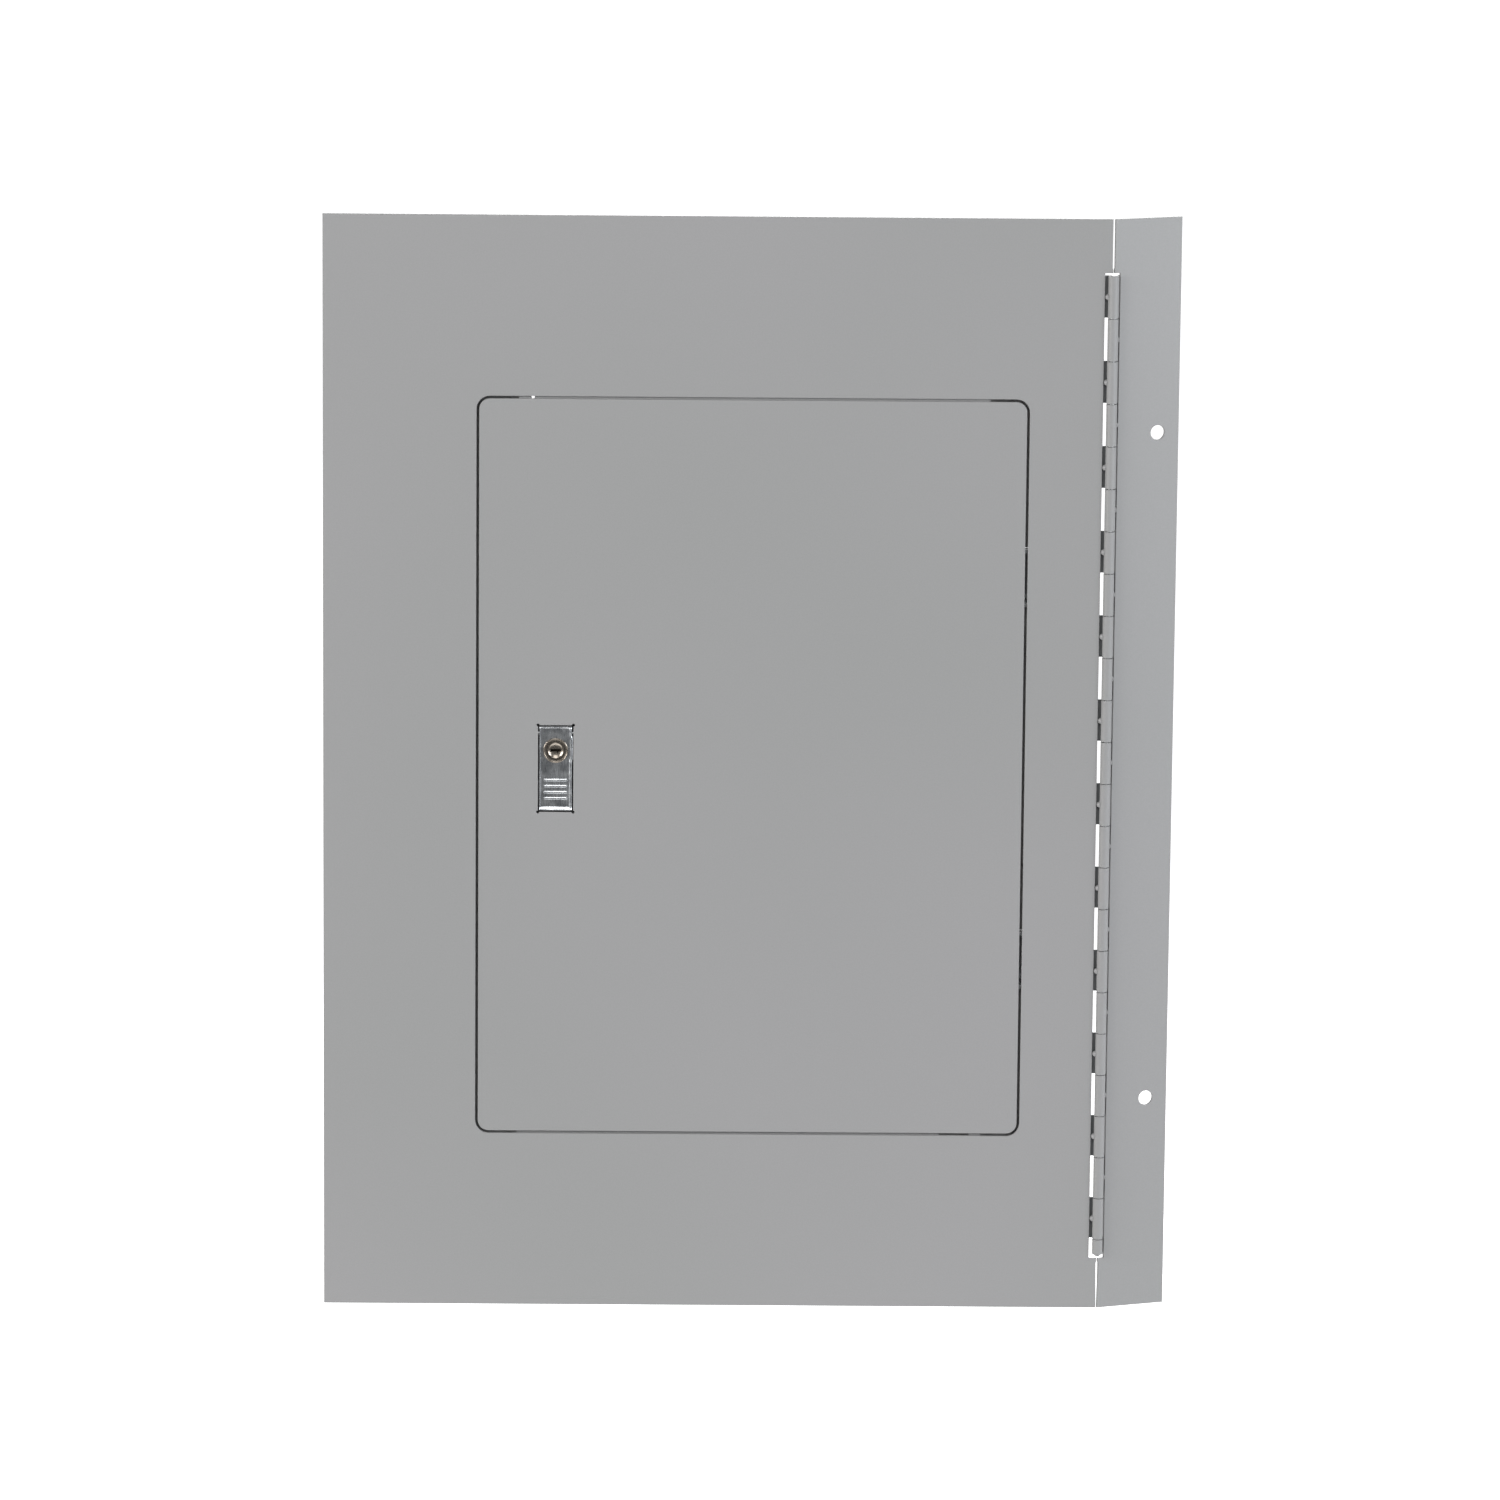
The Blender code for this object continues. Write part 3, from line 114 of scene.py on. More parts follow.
@dataclass
class Shell:
    """Points and faces of one or more closed surfaces.

    Attributes:
        points: Places of the points, one row each.
        faces: The points of each face, by number.
    """

    points: np.ndarray
    faces: list

    def moved(self, matrix: Matrix) -> Shell:
        """The same shell carried by a matrix.

        Args:
            matrix: A 4 by 4 placement.

        Returns:
            The carried shell.
        """
        turn = np.array(matrix)
        return Shell(self.points @ turn[:3, :3].T + turn[:3, 3], self.faces)

    def __add__(self, other: Shell) -> Shell:
        """Both shells side by side in one.

        Args:
            other: The shell to add.

        Returns:
            A shell with the points and faces of both.
        """
        shift = len(self.points)
        faces = self.faces + [[shift + index for index in face] for face in other.faces]
        return Shell(np.vstack([self.points, other.points]), faces)


def together(shells: Sequence[Shell]) -> Shell:
    """Adds up several shells.

    Args:
        shells: One shell or more.

    Returns:
        A single shell that holds them all.
    """
    total = shells[0]
    for shell in shells[1:]:
        total = total + shell
    return total


def grid_faces(rows: int, cols: int, wrap: bool) -> np.ndarray:
    """The four-sided faces of a grid of points that is stored row by row.

    Args:
        rows: Number of rows.
        cols: Number of points in a row.
        wrap: Whether each row's last point joins its first.

    Returns:
        Point numbers, four to a face.
    """
    row = np.arange(rows - 1)[:, None] * cols
    col = np.arange(cols if wrap else cols - 1)[None, :]
    after = (col + 1) % cols
    return np.stack([row + col, row + after, row + cols + after, row + cols + col], -1).reshape(-1, 4)


def oriented(plane: np.ndarray, depth: np.ndarray, axis: Axis) -> np.ndarray:
    """Sets flat points and their depth along an axis as places in space.

    Args:
        plane: Two coordinates of each point, (y, z) for X, (x, z) for Y and (x, y) for Z.
        depth: Each point's coordinate along the axis.
        axis: The axis.

    Returns:
        Three coordinates for each point.
    """
    return np.insert(plane, axis.value, depth, axis=-1)


def arc(centre: Pair, radius: float, start: float, end: float, steps: int = 8) -> np.ndarray:
    """Points of an arc: the centre plus the radius times the cosine and sine of an even run of angles.

    Args:
        centre: Middle of the arc.
        radius: Its radius.
        start: First angle in quarter turns.
        end: Last angle in quarter turns.
        steps: Number of stretches.

    Returns:
        The points in order.
    """
    angle = np.linspace(start, end, steps + 1) * math.pi / 2
    return np.stack([centre[0] + radius * np.cos(angle), centre[1] + radius * np.sin(angle)], -1)


def circle(centre: Pair, radius: float, sides: int = 48) -> np.ndarray:
    """A closed ring of points.

    Args:
        centre: Middle of the circle.
        radius: Its radius.
        sides: Number of points.

    Returns:
        The points, without a repeated last one.
    """
    return arc(centre, radius, 0, 4, sides)[:-1]


def rounded(low: Pair, high: Pair, radius: float, steps: int = 8) -> np.ndarray:
    """A rectangle with a quarter arc at each corner.

    Args:
        low: Its lowest corner.
        high: Its highest corner.
        radius: Radius of the corners.
        steps: Stretches in each arc.

    Returns:
        The points in order, anticlockwise.
    """
    left, right, base, top = low[0] + radius, high[0] - radius, low[1] + radius, high[1] - radius
    corners = ((right, top), (left, top), (left, base), (right, base))
    return np.vstack([arc(c, radius, i, i + 1, steps) for i, c in enumerate(corners)])


def relieved(low: Pair, high: Pair, radius: float, steps: int = 12) -> np.ndarray:
    """A rectangle with a three-quarter arc cut outwards at each corner, as a punch leaves it.

    Args:
        low: Its lowest corner.
        high: Its highest corner.
        radius: Radius of the corner cuts.
        steps: Stretches in each arc.

    Returns:
        The points in order, anticlockwise.
    """
    corners = ((high[0], high[1]), (low[0], high[1]), (low[0], low[1]), (high[0], low[1]))
    return np.vstack([arc(c, radius, i - 1, i + 2, steps) for i, c in enumerate(corners)])


def turned_towards(loop: np.ndarray, anticlockwise: bool) -> np.ndarray:
    """The loop in the wanted direction, told by the sign of its area from the shoelace sum.

    Args:
        loop: Points of a closed outline.
        anticlockwise: The wanted direction.

    Returns:
        The loop, reversed if it ran the other way.
    """
    following = np.roll(loop, -1, axis=0)
    area = np.sum(loop[:, 0] * following[:, 1] - following[:, 0] * loop[:, 1])
    return loop if (area > 0) == anticlockwise else loop[::-1]


def inward(loop: np.ndarray) -> np.ndarray:
    """The step from each point of a loop into the material on its left.

    The step is the sum of the two sides' left normals over one plus their dot product, which keeps
    both sides the same distance from the moved loop.

    Args:
        loop: Points of a closed outline.

    Returns:
        One step for each point, for a distance of one.
    """
    along = np.roll(loop, -1, axis=0) - loop
    along = along / np.linalg.norm(along, axis=1, keepdims=True)
    after = np.stack([-along[:, 1], along[:, 0]], -1)
    before = np.roll(after, 1, axis=0)
    return (before + after) / (1 + np.sum(before * after, axis=1, keepdims=True))


def plate(
    outline: np.ndarray,
    span: Pair,
    axis: Axis,
    holes: Sequence[np.ndarray] = (),
    edge: float = 0.3 * MM,
    steps: int = 3,
) -> Shell:
    """A flat outline with thickness, whose edges are rounded.

    A quarter arc, a straight side and a second quarter arc are carried along every loop: at each angle
    the loop moves into the material by the radius times one less the sine, and away from the face by
    the radius times one less the cosine. Two flat faces close it.

    Args:
        outline: The outer loop.
        span: Where the plate starts and ends along the axis.
        axis: The axis that it is pushed along.
        holes: Inner loops.
        edge: Radius of the rounded edges.
        steps: Stretches in each rounded edge.

    Returns:
        A closed shell.
    """
    angle = np.linspace(0, math.pi / 2, steps + 1)
    inset = edge * (1 - np.sin(angle))
    depth = edge * (1 - np.cos(angle))
    inset = np.concatenate([inset, inset[::-1]])
    along = np.concatenate([span[0] + depth, span[1] - depth[::-1]])
    points, faces, base = [], [], 0
    front, back, flats = [], [], []
    loops = [turned_towards(np.asarray(outline, float), True)]
    loops += [turned_towards(np.asarray(hole, float), False) for hole in holes]
    for loop in loops:
        rings = loop[None] + inset[:, None, None] * inward(loop)[None]
        heights = np.repeat(along[:, None], len(loop), axis=1)
        points.append(oriented(rings, heights, axis).reshape(-1, 3))
        faces += (grid_faces(len(along), len(loop), True) + base).tolist()
        flats.append([Vector((u, v, 0)) for u, v in rings[0]])
        front.append(base + np.arange(len(loop)))
        back.append(base + (len(along) - 1) * len(loop) + np.arange(len(loop)))
        base += len(along) * len(loop)
    corners = np.array(tessellate_polygon(flats))
    faces += np.concatenate(front)[corners].tolist()
    faces += np.concatenate(back)[corners[:, ::-1]].tolist()
    return Shell(np.vstack(points), faces)


def turn_angles(sides: int) -> np.ndarray:
    """An even run of angles once round."""
    return np.arange(sides) * 2 * math.pi / sides


def revolved(radius: np.ndarray, along: np.ndarray, centre: Sequence[float], axis: Axis) -> Shell:
    """Rings about an axis: each radius times the cosine and sine of an even run of angles.

    Args:
        radius: Radius at each point, with a row for each ring.
        along: Distance along the axis at each point, or one for each ring.
        centre: Place of the axis and of the distances' zero.
        axis: The axis.

    Returns:
        A shell that is closed where its end rings shrink to a point or meet.
    """
    angle = turn_angles(radius.shape[1])
    plane = radius[..., None] * np.stack([np.cos(angle), np.sin(angle)], -1)
    points = oriented(plane, np.broadcast_to(along, radius.shape), axis).reshape(-1, 3)
    return Shell(points + np.asarray(centre, float), grid_faces(*radius.shape, True).tolist())


def lathe(profile: Sequence, centre: Sequence[float], axis: Axis, sides: int = 64) -> Shell:
    """A profile turned about an axis: each radius times the cosine and sine of an even run of angles.

    Args:
        profile: Pairs of radius and distance along the axis, which start and end on the axis or
            come back to the first pair.
        centre: Place of the axis and of the profile's zero.
        axis: The axis to turn about.
        sides: Points in each ring.

    Returns:
        A closed shell.
    """
    radius, along = np.asarray(profile, float).T
    return revolved(np.repeat(radius[:, None], sides, axis=1), along[:, None], centre, axis)


def thread(
    radius: float, pitch: float, span: Pair, centre: Sequence[float], axis: Axis
) -> Shell:
    """A threaded rod.

    The radius falls and rises once in each pitch, as a triangle wave of the height less the share of a
    turn, so the ridge climbs round the rod. The ends are drawn in to the axis.

    Args:
        radius: Outer radius.
        pitch: Distance between ridges.
        span: Where the rod starts and ends along the axis.
        centre: Place of the axis.
        axis: The rod's axis.

    Returns:
        A closed shell.
    """
    sides, per_pitch, depth_share, end_share = 24, 4, 0.54, 0.6
    rows = max(4, round(abs(span[1] - span[0]) / pitch) * per_pitch)
    along = np.linspace(span[0], span[1], rows + 1)
    phase = along[:, None] / pitch - turn_angles(sides)[None] / (2 * math.pi)
    reach = radius - depth_share * pitch * np.abs(2 * (phase - np.floor(phase)) - 1)
    point, end = np.zeros((1, sides)), np.full((1, sides), end_share * radius)
    reach = np.vstack([point, end, reach, end, point])
    along = np.pad(along, 2, mode="edge")
    return revolved(reach, along[:, None], centre, axis)


def wire(path: np.ndarray, radius: float, sides: int = 10) -> Shell:
    """A round wire along a path, with rounded ends.

    At each point a ring stands across the path's direction, on two axes made by cross products with a
    fixed vector. Three shrinking rings at each end follow a quarter circle.

    Args:
        path: The wire's middle line.
        radius: The wire's radius.
        sides: Points in each ring.

    Returns:
        A closed shell.
    """
    direction = np.gradient(path, axis=0)
    direction /= np.linalg.norm(direction, axis=1, keepdims=True)
    across = np.cross(direction, (0.12, 0.31, 0.94))
    across /= np.linalg.norm(across, axis=1, keepdims=True)
    up = np.cross(direction, across)
    cap = np.linspace(0, math.pi / 2, 4)
    lead = -direction[0] * radius * np.sin(cap[::-1])[:, None]
    tail = direction[-1] * radius * np.sin(cap)[:, None]
    path = np.vstack([path[0] + lead, path[1:-1], path[-1] + tail])
    shrink = radius * np.cos(cap)
    sizes = np.concatenate([shrink[::-1], np.full(len(path) - 2 * len(cap), radius), shrink])
    pick = np.clip(np.arange(len(path)) - len(cap) + 1, 0, len(direction) - 1)
    angle = turn_angles(sides)[None, :, None]
    ring = across[pick][:, None] * np.cos(angle) + up[pick][:, None] * np.sin(angle)
    points = path[:, None] + sizes[:, None, None] * ring
    return Shell(points.reshape(-1, 3), grid_faces(len(path), sides, True).tolist())


def slab(front: np.ndarray, back: np.ndarray) -> Shell:
    """Two grids of the same size, front and back, joined all round their rims.

    Args:
        front: Rows by columns of places on the front.
        back: The matching places on the back.

    Returns:
        A closed shell.
    """
    rows, cols = front.shape[:2]
    number = np.arange(rows * cols).reshape(rows, cols)
    rim = np.concatenate([number[0, :-1], number[:-1, -1], number[-1, :0:-1], number[:0:-1, 0]])
    after = np.roll(rim, -1)
    size = rows * cols
    sides = np.stack([rim, after, after + size, rim + size], -1)
    face = grid_faces(rows, cols, False)
    faces = face.tolist() + (face[:, ::-1] + size).tolist() + sides.tolist()
    return Shell(np.vstack([front.reshape(-1, 3), back.reshape(-1, 3)]), faces)


def measured(node: str) -> tuple[np.ndarray, np.ndarray, np.ndarray]:
    """A solid's lowest corner, highest corner and middle.

    Args:
        node: The solid's name.

    Returns:
        Three places.
    """
    low, high = (np.array(corner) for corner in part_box(node))
    return low, high, (low + high) / 2


def nut(node: str, bore: float, centre: Sequence[float]) -> Shell:
    """A hexagon nut in a solid's place, about an axis along Y and chamfered at both ends.

    Round a ring of angles the hexagon's radius is its flat's distance over the cosine of the angle from
    the flat's middle. The chamfer rings are circles inside it, and the bore closes the profile.

    Args:
        node: The solid's name.
        bore: Radius of the hole.
        centre: Place of the axis.

    Returns:
        A closed shell.
    """
    low, high, _ = measured(node)
    sides, disc_share, ease_share = 72, 0.97, 0.08
    corner = (high[0] - low[0]) / 2
    flat, ease = corner * math.cos(math.pi / 6), ease_share * corner
    hexagon = flat / np.cos((turn_angles(sides) % (math.pi / 3)) - math.pi / 6)
    rise = (hexagon - flat * disc_share) * math.tan(math.pi / 6)
    disc, hole = np.full(sides, flat * disc_share), np.full(sides, bore)
    base, top = np.full(sides, low[1]), np.full(sides, high[1])
    radius = np.stack([hole, hole + ease, disc, hexagon, hexagon, disc, hole + ease, hole, hole])
    along = np.stack([base + ease, base, base, base + rise, top - rise, top, top, top - ease, base + ease])
    return revolved(radius, along, centre, Axis.Y)


def pin(radius: float, span: Pair, ease: float, centre: Sequence[float], axis: Axis) -> Shell:
    """A pin with chamfered ends.

    Args:
        radius: Its radius.
        span: Where it starts and ends along the axis.
        ease: Size of the chamfers.
        centre: Place of the axis.
        axis: The pin's axis.

    Returns:
        A closed shell.
    """
    base, top = span
    profile = [(0, base), (radius - ease, base), (radius, base + ease)]
    profile += [(radius, top - ease), (radius - ease, top), (0, top)]
    return lathe(profile, centre, axis, 32)


def block(
    low: Sequence[float],
    high: Sequence[float],
    corner: float = 0.2 * MM,
    edge: float | None = None,
    steps: tuple[int, int] = (3, 3),
    holes: Sequence[np.ndarray] = (),
) -> Shell:
    """A block between two places, as a plate along Y.

    Args:
        low: Lowest corner.
        high: Highest corner.
        corner: Radius of its corners as seen from the front.
        edge: Radius of its edges, or none for a little less than the corners'.
        steps: Stretches in each corner and across each edge.
        holes: Loops cut through it.

    Returns:
        A closed shell.
    """
    outline = rounded((low[0], low[2]), (high[0], high[2]), corner, steps[0])
    edge = corner * 0.99 if edge is None else edge
    return plate(outline, (low[1], high[1]), Axis.Y, holes, edge, steps[1])


# Meshes and objects


def as_mesh(name: str, shell: Shell) -> bpy.types.Mesh:
    """Puts a shell in a mesh, merges what meets, and turns every face outwards.

    Args:
        name: The mesh's name.
        shell: The surface.

    Returns:
        The new mesh.
    """
    mesh = bpy.data.meshes.new(name)
    mesh.from_pydata(shell.points.tolist(), [], shell.faces)
    work = bmesh.new()
    work.from_mesh(mesh)
    bmesh.ops.remove_doubles(work, verts=work.verts, dist=SAME_POINT)
    bmesh.ops.dissolve_degenerate(work, edges=work.edges, dist=SAME_POINT / 2)
    bmesh.ops.recalc_face_normals(work, faces=work.faces)
    work.to_mesh(mesh)
    work.free()
    return mesh


def linked(name: str, data: bpy.types.ID) -> bpy.types.Object:
    """A new object in the scene, at the origin.

    Args:
        name: Its name.
        data: The mesh, light or camera that it shows.

    Returns:
        The object.
    """
    obj = bpy.data.objects.new(name, data)
    bpy.context.scene.collection.objects.link(obj)
    return obj


def carved(shell: Shell, *cutters: Shell) -> Shell:
    """Takes other shells out of a shell with exact Booleans.

    Args:
        shell: The surface to cut.
        cutters: What is taken out.

    Returns:
        The cut surface.
    """
    objects = [linked("carving", as_mesh("carving", each)) for each in (shell, *cutters)]
    for cutter in objects[1:]:
        modifier = objects[0].modifiers.new("cut", "BOOLEAN")
        modifier.operation = "DIFFERENCE"
        modifier.object = cutter
    bpy.context.view_layer.update()
    cut = objects[0].evaluated_get(bpy.context.evaluated_depsgraph_get()).to_mesh()
    points = np.empty(len(cut.vertices) * 3, np.float32)
    cut.vertices.foreach_get("co", points)
    result = Shell(points.reshape(-1, 3).astype(float), [list(face.vertices) for face in cut.polygons])
    for obj in objects:
        bpy.data.objects.remove(obj, do_unlink=True)
    return result


def finish_piece(
    obj: bpy.types.Object, finish: Finish, body: str, nodes: Sequence[str]
) -> bpy.types.Object:
    """Shades a piece, gives it its finish, and ties it to its body.

    Args:
        obj: The piece.
        finish: Its finish.
        body: The moving body that it rides on.
        nodes: The solids that it stands for.

    Returns:
        The same piece.
    """
    obj.data.shade_smooth()
    obj.data.set_sharp_from_angle(angle=SHARP)
    obj.data.materials.clear()
    obj.data.materials.append(finish.material())
    weighted = obj.modifiers.new("even_shading", "WEIGHTED_NORMAL")
    weighted.keep_sharp = True
    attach(obj, body)
    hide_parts(*nodes)
    LOG.info("%s rides on %s", obj.name, body)
    return obj


def new_piece(name: str, shell: Shell, finish: Finish, body: str, *nodes: str) -> bpy.types.Object:
    """Makes a piece from a shell.

    Args:
        name: The piece's name.
        shell: Its surface.
        finish: Its finish.
        body: The moving body that it rides on.
        nodes: The solids that it stands for, or none for the one of the same name.

    Returns:
        The new object.
    """
    obj = linked(name + "_surface", as_mesh(name, shell))
    return finish_piece(obj, finish, body, nodes or (name,))


def softened(node: str, width: float, finish: Finish, body: str, taller: float = 0.0) -> None:
    """A merged copy of a solid with rounded edges, for folded and milled parts.

    Args:
        node: The solid's name.
        width: Width of the rounded edges.
        finish: Its finish.
        body: The moving body that it rides on.
        taller: How much height is added to it, half of it at each end.
    """
    low, high, middle = measured(node)
    work = bmesh.new()
    work.from_mesh(FRAME["nodes"][node].data)
    stretch, about = 1 + taller / (high[2] - low[2]), Matrix.Translation((0, 0, -middle[2]))
    bmesh.ops.scale(work, vec=(1, 1, stretch), verts=work.verts, space=about)
    bmesh.ops.remove_doubles(work, verts=work.verts, dist=SAME_CORNER)
    bmesh.ops.dissolve_limit(work, angle_limit=FLAT, verts=work.verts, edges=work.edges)
    mesh = bpy.data.meshes.new(node)
    work.to_mesh(mesh)
    work.free()
    obj = linked(node + "_surface", mesh)
    bevel = obj.modifiers.new("soft_edges", "BEVEL")
    bevel.width = width
    bevel.segments = 2
    bevel.limit_method = "ANGLE"
    bevel.angle_limit = FOLDED
    finish_piece(obj, finish, body, (node,))


# Finishes


def linear(colour: str) -> tuple[float, float, float, float]:
    """Turns an sRGB hex colour to linear.

    Args:
        colour: Six hex digits after a hash sign.

    Returns:
        Linear red, green and blue, and an alpha of one.
    """
    share = np.array([int(colour[i : i + 2], 16) for i in (1, 3, 5)]) / 255
    value = np.where(share <= 0.04045, share / 12.92, ((share + 0.055) / 1.055) ** 2.4)
    return (*(float(v) for v in value), 1.0)


def add(
    tree: bpy.types.NodeTree, kind: str, inputs: dict | None = None, **settings: object
) -> bpy.types.Node:
    """Adds a node with its settings, and links or sets its inputs.

    Args:
        tree: The node tree.
        kind: The node's type.
        inputs: Sockets to link or values to set, by input name or number.
        settings: Properties of the node itself.

    Returns:
        The new node.
    """
    node = tree.nodes.new(kind)
    for key, value in settings.items():
        setattr(node, key, value)
    for key, value in (inputs or {}).items():
        if isinstance(value, bpy.types.NodeSocket):
            tree.links.new(value, node.inputs[key])
        else:
            node.inputs[key].default_value = value
    return node


@dataclass(frozen=True)
class Finish(ABC):
    """What a surface is made of and how it was finished.

    Attributes:
        name: The material's name.
        slot: The record's material slot. It is not used.
        colour: Main colour.
        tint: The colour that it drifts towards.
    """

    name: str
    slot: str
    colour: str
    tint: str

    def material(self) -> bpy.types.Material:
        """The finish's one shared material, made when it is first asked for."""
        known = bpy.data.materials.get(self.name)
        if known:
            return known
        made = bpy.data.materials.new(self.name)
        made.use_nodes = True
        tree = made.node_tree
        place = tree.nodes.new("ShaderNodeTexCoord").outputs["Object"]
        self.dress(tree, tree.nodes["Principled BSDF"], place)
        return made

    @abstractmethod
    def dress(self, tree: bpy.types.NodeTree, shader: bpy.types.Node, place: bpy.types.NodeSocket) -> None:
        """Sets the shader up.

        Args:
            tree: The material's nodes.
            shader: Its Principled shader.
            place: Object coordinates in metres.
        """

    def blotches(
        self, tree: bpy.types.NodeTree, place: bpy.types.NodeSocket, size: float, detail: float = 3.0
    ) -> bpy.types.NodeSocket:
        """The finish's main colour, which drifts to its tint in soft patches.

        Args:
            tree: The material's nodes.
            place: Coordinates.
            size: Width of a patch in metres.
            detail: How much finer structure the patches have.

        Returns:
            The colour.
        """
        noise = add(tree, "ShaderNodeTexNoise", {"Vector": place, "Scale": 1 / size, "Detail": detail})
        ramp = add(tree, "ShaderNodeValToRGB", {"Fac": noise.outputs["Fac"]})
        for stop, position, colour in zip(ramp.color_ramp.elements, NOISE_SPAN, (self.colour, self.tint)):
            stop.position = position
            stop.color = linear(colour)
        return ramp.outputs["Color"]

    def skin(
        self,
        tree: bpy.types.NodeTree,
        shader: bpy.types.Node,
        place: bpy.types.NodeSocket,
        grain: Pair,
        gloss: Pair | None,
        relief: Pair | None,
    ) -> None:
        """A fine noise in the surface's gloss and height.

        Args:
            tree: The material's nodes.
            shader: Its Principled shader.
            place: Coordinates.
            grain: Width of a grain in metres, and how much finer structure it has.
            gloss: Least and greatest roughness, or none where it is even.
            relief: Strength of the relief and its height in metres, or none where it is flat.
        """
        noise = {"Vector": place, "Scale": 1 / grain[0], "Detail": grain[1]}
        height = add(tree, "ShaderNodeTexNoise", noise).outputs["Fac"]
        if gloss:
            spread = {0: height, 1: NOISE_SPAN[0], 2: NOISE_SPAN[1], 3: gloss[0], 4: gloss[1]}
            rough = add(tree, "ShaderNodeMapRange", spread)
            tree.links.new(rough.outputs["Result"], shader.inputs["Roughness"])
        if relief:
            raised = {"Height": height, "Strength": relief[0], "Distance": relief[1]}
            tree.links.new(add(tree, "ShaderNodeBump", raised).outputs[0], shader.inputs["Normal"])


@dataclass(frozen=True)
class PowderCoat(Finish):
    """Baked polyester powder on steel.

    The powder melts into a skin with a shallow orange peel about 2 mm across, which breaks up
    highlights. The pigment grains give the grey a fine salt, and a few nibs of dust are baked in.
    The grain is drawn at 0.9 mm, coarser than the real 0.1 mm, so that it shows at all.

    Attributes:
        patch: Width of the patches of tint.
        peel: Width of the orange peel's cells.
        grain: Width of the pigment grains.
        salt: How much lighter or darker a grain is.
        dust: Colour of a nib of dust.
        dust_spacing: Distance between places where a nib can be.
        dust_radius: Radius of a nib.
        clean: Share of those places without one.
        roughness: Middle roughness.
    """

    patch: float = 260 * MM
    peel: float = 2.2 * MM
    grain: float = 0.9 * MM
    salt: float = 0.025
    dust: str = "#c9cbcc"
    dust_spacing: float = 62 * MM
    dust_radius: float = 0.45 * MM
    clean: float = 0.55
    roughness: float = 0.46

    def dress(self, tree: bpy.types.NodeTree, shader: bpy.types.Node, place: bpy.types.NodeSocket) -> None:
        """Sets up tinted grey with salt and dust, and a satin skin of orange peel.

        Args:
            tree: The material's nodes.
            shader: Its Principled shader.
            place: Object coordinates in metres.
        """
        grain = add(tree, "ShaderNodeTexNoise", {"Vector": place, "Scale": 1 / self.grain, "Detail": 2.0})
        span = {1: NOISE_SPAN[0], 2: NOISE_SPAN[1], 3: 1 - self.salt, 4: 1 + self.salt}
        salt = add(tree, "ShaderNodeMapRange", {0: grain.outputs["Fac"], **span}).outputs["Result"]
        broad = self.blotches(tree, place, self.patch, 1.0)
        grey = add(tree, "ShaderNodeVectorMath", {0: broad, "Scale": salt}, operation="SCALE")
        cells = add(tree, "ShaderNodeTexVoronoi", {"Vector": place, "Scale": 1 / self.dust_spacing})
        chosen = add(tree, "ShaderNodeSeparateColor", {0: cells.outputs["Color"]})
        reach = {0: cells.outputs["Distance"], 1: self.dust_radius / self.dust_spacing}
        near = add(tree, "ShaderNodeMath", reach, operation="LESS_THAN")
        rare = add(tree, "ShaderNodeMath", {0: chosen.outputs[0], 1: self.clean}, operation="GREATER_THAN")
        spot = add(tree, "ShaderNodeMath", {0: near.outputs[0], 1: rare.outputs[0]}, operation="MULTIPLY")
        layers = {"Factor": spot.outputs[0], 6: grey.outputs[0], 7: linear(self.dust)}
        paint = add(tree, "ShaderNodeMix", layers, data_type="RGBA")
        tree.links.new(paint.outputs[2], shader.inputs["Base Color"])
        gloss = (self.roughness - 0.03, self.roughness + 0.03)
        self.skin(tree, shader, place, (self.peel, 2.5), gloss, (0.35, 0.02 * MM))
        shader.inputs["IOR"].default_value = 1.5


@dataclass(frozen=True)
class PlatedMetal(Finish):
    """Steel or brass with a plated skin, zinc or nickel.

    The plating takes over the rolled surface under it: soft cloudy patches some millimetres wide in
    colour and gloss, and fine lines from drawing or tumbling.

    Attributes:
        cloud: Width of the patches.
        line: Distance between lines.
        roughness: Middle roughness.
        relief: Height of the lines.
        stretch: How far the pattern is squeezed along each axis, which draws the lines out.
    """

    cloud: float = 7 * MM
    line: float = 0.35 * MM
    roughness: float = 0.3
    relief: float = 0.01 * MM
    stretch: tuple[float, float, float] = (1.0, 1.0, 0.06)

    def dress(self, tree: bpy.types.NodeTree, shader: bpy.types.Node, place: bpy.types.NodeSocket) -> None:
        """Sets up a cloudy metal with fine lines in its gloss and height.

        Args:
            tree: The material's nodes.
            shader: Its Principled shader.
            place: Object coordinates in metres.
        """
        shader.inputs["Metallic"].default_value = 1.0
        tree.links.new(self.blotches(tree, place, self.cloud), shader.inputs["Base Color"])
        drawn = add(tree, "ShaderNodeMapping", {"Vector": place, "Scale": self.stretch}).outputs[0]
        gloss = (self.roughness - 0.06, self.roughness + 0.08)
        self.skin(tree, shader, drawn, (self.line, 3.0), gloss, (0.4, self.relief))


@dataclass(frozen=True)
class Matt(Finish):
    """A dull moulded or pressed material, such as rubber or fibre, with a fine pebbled skin.

    Attributes:
        patch: Width of the patches of tint.
        grain: Width of the pebbles.
        roughness: Middle roughness.
    """

    patch: float = 4 * MM
    grain: float = 0.6 * MM
    roughness: float = 0.8

    def dress(self, tree: bpy.types.NodeTree, shader: bpy.types.Node, place: bpy.types.NodeSocket) -> None:
        """Sets up a dull, patchy colour and a pebbled skin.

        Args:
            tree: The material's nodes.
            shader: Its Principled shader.
            place: Object coordinates in metres.
        """
        tree.links.new(self.blotches(tree, place, self.patch), shader.inputs["Base Color"])
        gloss = (self.roughness - 0.08, self.roughness + 0.08)
        self.skin(tree, shader, place, (self.grain, 4.0), gloss, (0.5, 0.05 * MM))


